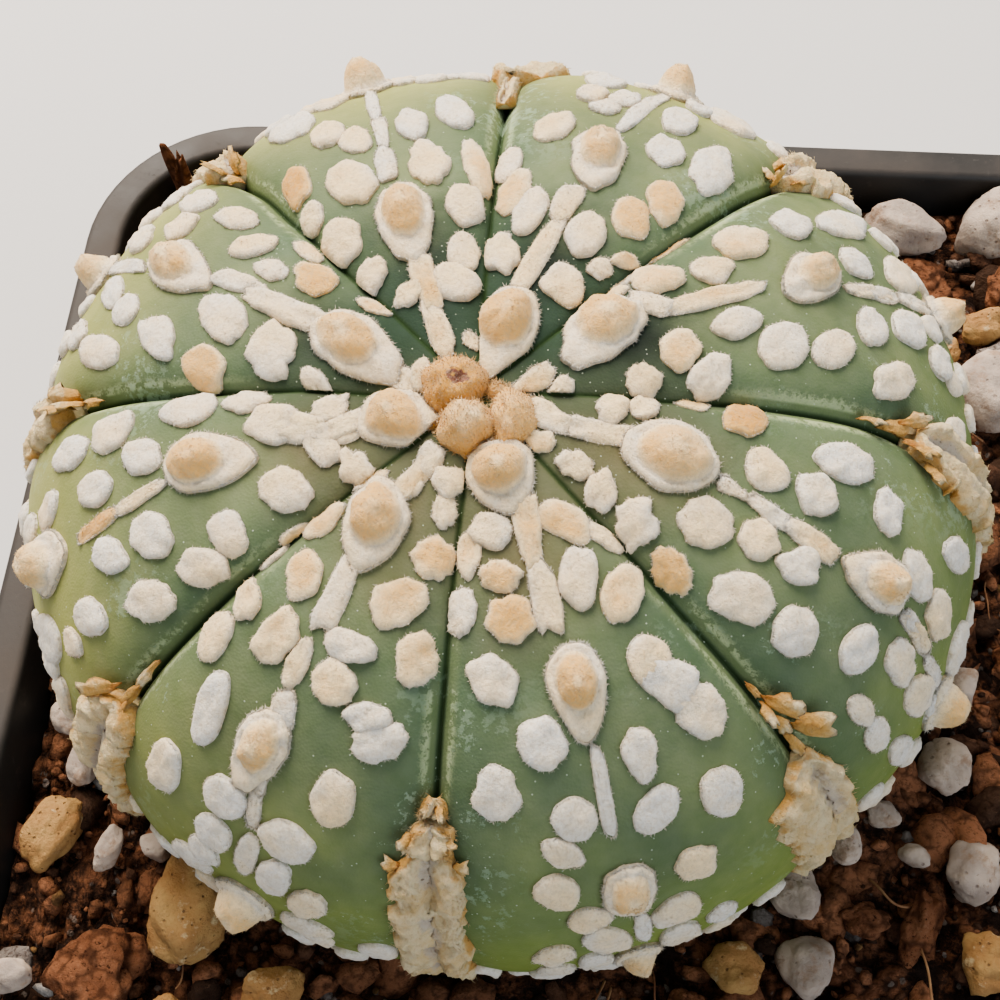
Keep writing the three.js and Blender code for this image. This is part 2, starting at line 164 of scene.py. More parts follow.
# %% Meshes
def shells(rings, first, last):
    """Closed shapes from rings (n, rows, columns, 3) and their end points (n, 3) each.

    Rows run from the first pole to the last. Seen from outside the first pole, columns run
    anticlockwise. Each cell of the grid is a quad and each pole is a fan of triangles.
    """
    count, rows, columns = rings.shape[:3]
    points = np.concatenate([rings.reshape(count, -1, 3), first[:, None], last[:, None]], axis=1)
    row, column = np.meshgrid(np.arange(rows - 1), np.arange(columns), indexing="ij")
    following = (column + 1) % columns
    quads = np.stack([row * columns + column, (row + 1) * columns + column,
                      (row + 1) * columns + following, row * columns + following], -1)
    around = np.arange(columns)
    after = (around + 1) % columns
    top = np.stack([np.full(columns, rows * columns), around, after], -1)
    end = (rows - 1) * columns
    bottom = np.stack([np.full(columns, rows * columns + 1), end + after, end + around], -1)
    fans = np.concatenate([top, bottom])
    shift = (np.arange(count) * (rows * columns + 2))[:, None, None]
    faces = [(quads.reshape(-1, 4) + shift).reshape(-1, 4), (fans + shift).reshape(-1, 3)]
    return points.reshape(-1, 3), faces


def join(*parts):
    """One set of points and faces from several."""
    points, faces, count = [], [], 0
    for part_points, part_faces in parts:
        faces += [corners + count for corners in part_faces]
        points.append(part_points)
        count += len(part_points)
    return np.concatenate(points), faces


def piece(name, shape, material, nodes=(), layers=None):
    """A mesh object from (points in millimetres, faces) that rides on the root body.

    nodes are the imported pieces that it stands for. layers holds one number or one colour for
    each point, by name, for the material to read.
    """
    points, faces = shape
    mesh = bpy.data.meshes.new(name)
    mesh.vertices.add(len(points))
    mesh.vertices.foreach_set("co", (points * MM).astype(np.float32).ravel())
    corners = np.concatenate([part.ravel() for part in faces])
    sizes = np.concatenate([np.full(len(part), part.shape[1]) for part in faces])
    mesh.loops.add(len(corners))
    mesh.loops.foreach_set("vertex_index", corners.astype(np.int32))
    mesh.polygons.add(len(sizes))
    starts = np.concatenate([[0], np.cumsum(sizes)[:-1]])
    mesh.polygons.foreach_set("loop_start", starts.astype(np.int32))
    mesh.update(calc_edges=True)
    mesh.polygons.foreach_set("use_smooth", np.full(len(sizes), True))
    for layer, values in (layers or {}).items():
        if values.ndim == 1:
            attribute = mesh.attributes.new(layer, "FLOAT", "POINT")
            attribute.data.foreach_set("value", values.astype(np.float32))
        else:
            attribute = mesh.attributes.new(layer, "FLOAT_COLOR", "POINT")
            rgba = np.concatenate([values, np.ones((len(values), 1))], axis=1)
            attribute.data.foreach_set("color", rgba.astype(np.float32).ravel())
    mesh.validate()
    mesh.materials.append(material)
    made = put_in(name, mesh)
    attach(made, "root")
    if nodes:
        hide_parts(*nodes)
    print(f"{name}: {int((sizes - 2).sum())} triangles")
    return made


def joined(name, parts, material, slot, *layers):
    """One piece of many shapes, where each comes with its values for the named layers."""
    shapes, *values = zip(*parts)
    values = [np.concatenate(value) for value in values]
    return piece(name, join(*shapes), material, layers=dict(zip(layers, values)))


def once_round(columns):
    """Equal steps round a circle, in radians."""
    return np.arange(columns) * 2 * np.pi / columns


WAVES = 8
WAVE_SPREAD = (0.6, 1.5)
WAVE_PEAK = 1.2


def ripple(points, size, seed):
    """Smooth unevenness from about -1 to 1: a sum of sine waves in seeded random directions,
    each of them about `size` millimetres long, over the root of their number."""
    draw = np.random.default_rng(seed)
    directions = draw.normal(size=(3, WAVES))
    directions /= np.linalg.norm(directions, axis=0)
    directions *= 2 * np.pi / size * draw.uniform(*WAVE_SPREAD, WAVES)
    phases = draw.uniform(0, 2 * np.pi, WAVES)
    return np.sin(points @ directions + phases).sum(-1) / WAVES**0.5 / WAVE_PEAK


# %% [markdown]
# ## Mixing finishes
# A finish is a network of nodes. Written as nodes it is long and hard to read, so a socket is
# wrapped in a small class that can be added and multiplied like a number, and each sum adds its
# Math node. Any other node comes from one method that takes its type, settings and sockets.

# %% Finishes
class Socket:
    """An output of a node, with the arithmetic of a number."""

    def __init__(self, paint, output):
        self.paint = paint
        self.output = output

    def maths(self, operation, *values):
        """A Math node on numbers and sockets."""
        return self.paint.node("ShaderNodeMath", {"operation": operation}, dict(enumerate(values)))

    def __add__(self, other):
        return self.maths("ADD", self, other)

    def __sub__(self, other):
        return self.maths("SUBTRACT", self, other)

    def __rsub__(self, other):
        return self.maths("SUBTRACT", other, self)

    def __mul__(self, other):
        return self.maths("MULTIPLY", self, other)

    __radd__ = __add__
    __rmul__ = __mul__

    def between(self, low, high):
        """0 below low, 1 above high, and a smooth step from one to the other."""
        settings = {"interpolation_type": "SMOOTHSTEP"}
        return self.paint.node("ShaderNodeMapRange", settings, {0: self, 1: low, 2: high})


class Paint:
    """A material under way: its shader's constants, and the nodes that vary it."""

    def __init__(self, name, **constants):
        self.material = bpy.data.materials.new(name)
        self.material.use_nodes = True
        self.tree = self.material.node_tree
        self.shader = self.tree.nodes["Principled BSDF"]
        for socket, value in constants.items():
            self.shader.inputs[socket.replace("_", " ")].default_value = value
        self.place = self.node("ShaderNodeTexCoord", output="Object")

    def node(self, kind, settings=None, sockets=None, output=0):
        """A new node: settings first, then a value or a link for each socket."""
        made = self.tree.nodes.new(kind)
        for key, value in (settings or {}).items():
            setattr(made, key, value)
        for key, value in (sockets or {}).items():
            if isinstance(value, Socket):
                self.tree.links.new(value.output, made.inputs[key])
            else:
                made.inputs[key].default_value = value
        return Socket(self, made.outputs[output])

    def noise(self, size, detail, roughness=0.55):
        """Cloudy noise whose blots are about `size` millimetres across."""
        sockets = {"Vector": self.place, "Scale": 1 / (size * MM), "Detail": detail,
                   "Roughness": roughness}
        return self.node("ShaderNodeTexNoise", None, sockets)

    def cells(self, size, output="Distance"):
        """Distance to the nearest of scattered points that lie `size` millimetres apart, as a
        share of that size, or each point's own random number as its Color."""
        sockets = {"Vector": self.place, "Scale": 1 / (size * MM)}
        return self.node("ShaderNodeTexVoronoi", None, sockets, output)

    def part(self, vector, axis):
        """The X, Y or Z of a vector."""
        return self.node("ShaderNodeSeparateXYZ", None, {0: vector}, axis)

    def layer(self, name, output="Fac"):
        """A number or a colour that the mesh holds for each point."""
        return self.node("ShaderNodeAttribute", {"attribute_name": name}, None, output)

    def blend(self, share, first, second, kind="MIX"):
        """From the first colour to the second as share goes from 0 to 1. Of a Mix node's many
        sockets, 6 and 7 take the colours and 2 gives the result."""
        ends = [end if isinstance(end, Socket) else (*end, 1.0) for end in (first, second)]
        settings = {"data_type": "RGBA", "blend_type": kind}
        return self.node("ShaderNodeMix", settings, {0: share, 6: ends[0], 7: ends[1]}, 2)

    def finish(self, colour, roughness=None, height=None, depth=0.1, strength=1.0):
        """Links what varies to the shader. height is in shares of depth, in millimetres."""
        self.tree.links.new(colour.output, self.shader.inputs["Base Color"])
        if roughness is not None:
            self.tree.links.new(roughness.output, self.shader.inputs["Roughness"])
        if height is not None:
            sockets = {"Height": height, "Distance": depth * MM, "Strength": strength}
            bump = self.node("ShaderNodeBump", None, sockets)
            self.tree.links.new(bump.output, self.shader.inputs["Normal"])
        return self.material


# %% [markdown]
# ## The body's outline
# The plant is one swollen stem. Its outline is a superellipse: flatter on top than a circle and
# fuller at the sides. Eight furrows divide it into ribs. What grows on the skin is placed by its
# distance from the crown along the outline, so that is worked out once, in small steps.

# %% Outline and furrows
SIDE_POWER = 2.76
TOP_POWER = 2.2
UNDER_END = math.radians(155)  # the angle from the crown at which the root begins
OUTLINE_STEPS = 6000
FURROWS = np.array([0, 44, 89.5, 134.5, 179, 222.5, 266.5, 312.3, 360.0])  # degrees
STRAYING = np.array([-4.5, 0, 0, 0, 0, 0, 0, 0, -4.5])  # degrees gained on the way down
STRAYED_AT = 32  # the distance from the crown at which all of them are gained
STRAY_POWER = 2.8
RIBS = range(8)


def outline(angle):
    """Radius and height of the body at an angle from the crown: its radius times the sine to the
    power two over SIDE_POWER, and its rise or drop times the cosine to two over TOP_POWER."""
    upward = np.cos(angle)
    rise = np.where(upward > 0, BODY_RISE, -BODY_DROP)
    radius = BODY_RADIUS * np.abs(np.sin(angle)) ** (2 / SIDE_POWER)
    return radius, rise * np.abs(upward) ** (2 / TOP_POWER)


# The angle from the crown, and the distance walked down the outline to each angle.
turned = np.linspace(0, UNDER_END, OUTLINE_STEPS + 1)
steps = np.hypot(*(np.diff(part) for part in outline(turned)))
walked = np.concatenate([[0], np.cumsum(steps)])
SKIN_END = walked[-1]
WIDEST_AT = np.interp(np.pi / 2, turned, walked)


def furrow(number, along):
    """The compass angle of a furrow: straight from the crown, but one strays lower down, by a
    power of the distance."""
    strayed = np.clip(along / STRAYED_AT, 0, 1) ** STRAY_POWER
    return np.radians(FURROWS[number] + STRAYING[number] * strayed)


def half_width(along, rib):
    """Half the rib's width at a distance from the crown: an arc of the body's radius there."""
    radius, _ = outline(np.interp(along, walked, turned))
    return radius * (furrow(rib + 1, along) - furrow(rib, along)) / 2


print("skin from crown to root", round(SKIN_END, 1), "widest at", round(WIDEST_AT, 1))

# %% [markdown]
# ## The skin
# Across a rib the skin falls away slowly at first and then in a sharp crease, as a quilted cushion
# does at a seam. The furrows are shallow at the crown and under the body, the crown lies forward
# of the middle, and broad low swellings keep the ribs from being alike.

# %% Skin
PILLOW_DEPTH = 0.8
FURROW_DEPTH = 1.25
CREASE_WIDTH = 0.62
CROWN_FADE = 1.6  # the furrows get their full depth at a right angle over this
UNDER_FADE = (2.6, 0.6)  # radians: where they would end below, and the way over which they fade
LEAST_FADE = 0.25
LEAST_SLOPE = 0.25
CROWN_FORWARD = 3.1  # how far in front of the body's middle the crown lies
SWELL_HEIGHT = 0.12
SWELL_SIZE = 9
SWELL_WAY = np.array([0.3, 0.3, 1])


def skin(along, share, rib, dipped=1.0):
    """A point of the skin, `along` millimetres down the rib from the crown and at a sideways
    share from -1 at one furrow to 1 at the next.

    It is the outline turned to the share's direction, moved inwards by a pillow term, share to
    the fourth, and a crease term that decays with the distance from the furrow. Both are
    multiplied by `dipped`, so that cork can lie on a skin whose furrow is partly filled.
    """
    angle = np.interp(along, walked, turned)
    radius, height = outline(angle)
    span = furrow(rib + 1, along) - furrow(rib, along)
    azimuth = furrow(rib, along) + (share + 1) / 2 * span
    side = 1 - np.abs(1 - np.abs(share))
    from_furrow = (1 - side) * radius * span / 2
    fade = np.sin(np.clip(angle * CROWN_FADE, 0, np.pi / 2))
    fade = fade * np.clip((UNDER_FADE[0] - angle) / UNDER_FADE[1], LEAST_FADE, 1)
    dip = PILLOW_DEPTH * side**4 + FURROW_DEPTH * np.exp(-from_furrow / CREASE_WIDTH)
    dip = dipped * fade * dip
    above = np.where(height > 0, 1 - (radius / BODY_RADIUS) ** 2, 0)
    inwards = radius - dip * np.clip(np.sin(angle), LEAST_SLOPE, 1)
    downwards = dip * np.clip(np.cos(angle), 0, 1)
    place = np.stack([inwards * np.cos(azimuth), inwards * np.sin(azimuth) - CROWN_FORWARD * above,
                      height - downwards], -1)
    return place + SWELL_HEIGHT * ripple(place, SWELL_SIZE, 3)[..., None] * SWELL_WAY


top_and_furrow = skin(np.array([WIDEST_AT] * 2), np.array([0.0, 1.0]), 0)
top_reach, furrow_reach = np.hypot(*top_and_furrow[:, :2].T)
print("where it is widest, a furrow is", round(top_reach - furrow_reach, 2), "mm deep")

# %% [markdown]
# ## How it leans
# The plant is built upright and then tipped forwards and to the left. Whatever grows on it must
# know which way is down the rib, across it and out of it, so that is taken from the skin's slopes.

# %% Leaning
LEAN_FORWARD = math.radians(3.2)
LEAN_LEFT = math.radians(3.3)
SLOPE_STEP = 0.05
NARROWEST = 0.4  # half a rib counts as this wide where it is narrower, by the crown
SHORTEST = 1e-9


def turn_pair(first, second, angle):
    """Two coordinates after a turn by an angle in their plane, from the first to the second."""
    return (first * math.cos(angle) - second * math.sin(angle),
            first * math.sin(angle) + second * math.cos(angle))


def tilt(points):
    """The plant's own directions to the pot's: tipped forwards and then to the left."""
    x, y, z = np.moveaxis(points, -1, 0)
    y, z = turn_pair(y, z, LEAN_FORWARD)
    x, z = turn_pair(x, z, LEAN_LEFT)
    return np.stack([x, y, z], -1)


def lean(points):
    """The plant's own places to the pot's."""
    return tilt(points) + PLANT


def unit(vectors):
    """Vectors over their own lengths."""
    return vectors / np.maximum(np.linalg.norm(vectors, axis=-1, keepdims=True), SHORTEST)


def frame_at(rib, along, across, dipped=1.0):
    """Point, direction down the rib, direction across it and outward normal, from the skin's
    slopes. across is in millimetres from the middle of the rib."""
    along = np.maximum(along, 2 * SLOPE_STEP)
    half = np.maximum(half_width(along, rib), NARROWEST)

    def at(down_rib, sideways):
        """The skin at millimetres down the rib and sideways from its middle."""
        return skin(down_rib, sideways / half, rib, dipped)

    down = unit(at(along + SLOPE_STEP, across) - at(along - SLOPE_STEP, across))
    side = unit(at(along, across + SLOPE_STEP) - at(along, across - SLOPE_STEP))
    return at(along, across), down, side, unit(np.cross(down, side))


crown_point = lean(skin(np.array([0.0]), np.array([0.0]), 0))[0]
print("crown at", np.round(crown_point, 1), "over the plant's middle", np.round(PLANT, 1))

# %% [markdown]
# ## Body
# The skin's mesh is the function above on a grid, with its columns drawn together beside the
# furrows, where the skin turns fastest. A tapered root goes on below it. Each point also keeps how
# far it is from the crown and from the furrow, because the colour of the skin follows those.

# %% Body shape
ALONG_STEPS = 112
ROW_CROWDING = 1.1
COLUMNS_PER_RIB = 52
COLUMN_CROWDING = 1.5
ROOT_ROWS = 8
ROOT_LENGTH = 23
ROOT_TAPER = 2.2
ROOT_FULLER = 0.5  # how much fuller the root is than its taper alone would make it
NO_FURROW = 5.0  # the distance from a furrow that is noted for the root
even = np.linspace(-1, 1, COLUMNS_PER_RIB + 1)[:-1]
SHARES = np.sign(even) * (1 - (1 - np.abs(even)) ** COLUMN_CROWDING)


def body_shape():
    """Rings round the crown, one for each distance along the skin, and a root whose radius falls
    as a power of what is left of its depth. Returns points and faces, and for each point its
    distances from the crown and from the furrow."""
    along = np.linspace(0, 1, ALONG_STEPS + 1)[1:] ** ROW_CROWDING * SKIN_END
    grid, share = np.meshgrid(along, SHARES, indexing="ij")
    rings = np.concatenate([skin(grid, share, rib) for rib in RIBS], axis=1)
    edge = np.concatenate([(1 - np.abs(share)) * half_width(grid, rib) for rib in RIBS], axis=1)
    x, y, z = rings[-1].T[:, None]
    depth = np.linspace(0, 1, ROOT_ROWS + 1)[1:, None]
    azimuth = np.arctan2(y, x)
    radius = np.hypot(x, y) * (1 - depth) ** ROOT_TAPER + ROOT_FULLER * (1 - depth)
    root = np.stack([radius * np.cos(azimuth), radius * np.sin(azimuth),
                     z - ROOT_LENGTH * depth * np.ones_like(azimuth)], -1)
    rings = np.concatenate([rings, root[:-1]])
    crown = skin(np.array([0.0]), np.array([0.0]), 0)
    tip = root[-1].mean(0)[None]
    columns = edge.shape[1]
    in_root = (ROOT_ROWS - 1) * columns
    distance = [np.repeat(along, columns), np.full(in_root, SKIN_END), [0, SKIN_END]]
    edges = [edge.ravel(), np.full(in_root, NO_FURROW), [0, NO_FURROW]]
    made = shells(lean(rings)[None], lean(crown), lean(tip))
    return made, np.concatenate(distance), np.concatenate(edges)


body_made, along_layer, edge_layer = body_shape()
print("body of", len(body_made[0]), "points")

# %% [markdown]
# ## The colour of the skin
# The waxy skin is olive and slate where it is young, by the crown, turns yellow-green on the
# flanks, where the sun gets, and stays bluer in the furrows. One side is paler and yellower, part
# sun bleaching and part painted light from the side of the key lamp, and the bottom of each crease
# is darkened with painted shade. Chalky wax lies in a strip beside each furrow. So its colour is
# blended step by step over the layers that say where it is.

# %% Skin finish
PALE_SIDE_WAY = (-0.8, 0.6, 0.0)  # the side made paler and yellower: sun bleaching, and painted light from the key lamp's side
DUSKY_BEHIND = (-7, 2)  # mm behind the plant's axis, from olive to slate


def skin_finish():
    """Sage green skin with a satin wax bloom. The blends in turn: cloudy green, outer flanks, a
    paler side of sun bleaching and painted light, dusky crown, valleys, furrow walls, painted shade
    in the creases, chalk, scuffs, specks, grain."""
    paint = Paint("cactus_skin", Subsurface_Weight=0.10, Subsurface_Scale=0.0015,
                  Subsurface_Radius=(0.6, 1.0, 0.35), Specular_IOR_Level=0.1)
    along = paint.layer("along")
    edge = paint.layer("edge")
    cloud = paint.noise(7, 4)
    fine = paint.noise(1.1, 4)
    green = paint.blend(cloud.between(0.3, 0.7), (0.135, 0.172, 0.106), (0.205, 0.236, 0.134))
    outer = (along + cloud * 14 - 7).between(22, 44)
    green = paint.blend(outer, green, (0.265, 0.315, 0.088))
    # Painted light: the flank towards the key lamp is blended paler and yellower, on top of sun
    # bleaching.
    toward_pale_side = paint.node("ShaderNodeVectorMath", {"operation": "DOT_PRODUCT"},
                       {0: paint.place, 1: PALE_SIDE_WAY}, "Value")
    bleached_and_lit = (toward_pale_side + cloud * 0.016 - 0.008).between(-0.004, 0.03) * along.between(16, 32)
    green = paint.blend(bleached_and_lit * 0.7, green, (0.43, 0.41, 0.15))
    crown = 1 - (along + cloud * 8 - 4).between(8, 16)
    ahead = paint.part(paint.place, "Y") + cloud * 0.004
    behind = ahead.between(*((PLANT[1] + shift) * MM for shift in DUSKY_BEHIND))
    dusky = paint.blend(behind, (0.20, 0.165, 0.10), (0.018, 0.023, 0.024))
    green = paint.blend(crown * 0.95, green, dusky)
    valley = 1 - edge.between(0.6, 4.2)
    green = paint.blend(valley * 0.42, green, (0.075, 0.128, 0.085))
    wall = edge.between(0.12, 0.3) * (1 - edge.between(0.5, 1.0)) * along.between(10, 20)
    green = paint.blend(wall * 0.45, green, (0.25, 0.29, 0.15))
    # Painted shade: the bottom of each furrow's crease is blended nearly black-green.
    crease = 1 - edge.between(0.03, 0.26)
    green = paint.blend(crease * 0.8, green, (0.030, 0.056, 0.018))
    chalk = paint.noise(0.6, 5, 0.75)
    stripe = edge.between(0.4, 0.55) * (1 - (edge + chalk * 2 - 1).between(0.7, 1.1))
    stripe = stripe * along.between(11, 20) * (chalk + cloud * 0.5).between(0.68, 0.80)
    green = paint.blend(stripe * 0.65, green, (0.50, 0.55, 0.36))
    near = 1 - edge.between(1.0, 7.5)
    scuff = (chalk * paint.noise(5.5, 2)).between(0.30, 0.35) * near * along.between(13, 24)
    green = paint.blend(scuff * 0.45, green, (0.42, 0.52, 0.42))
    speck = 1 - paint.cells(0.45).between(0.07, 0.13)
    speck = speck * (paint.cells(0.45, output="Color") + crown * 0.2).between(0.60, 0.66)
    green = paint.blend(speck * 0.8, green, (0.55, 0.60, 0.50))
    green = paint.blend((fine - 0.5) * 0.6 + 0.25, green, (0.14, 0.23, 0.10), "SOFT_LIGHT")
    sheen = 0.48 + 0.2 * cloud + stripe * 0.2 + crown * 0.3
    relief = paint.cells(0.16) * 0.35 + fine * 0.9 + speck * 0.6 + stripe * 0.5 + scuff * 0.4
    return paint.finish(green, sheen, relief, 0.07, 0.6)


SKIN = skin_finish()
piece("cactus_body", body_made, SKIN, ["cactus"],
      {"along": along_layer, "edge": edge_layer})
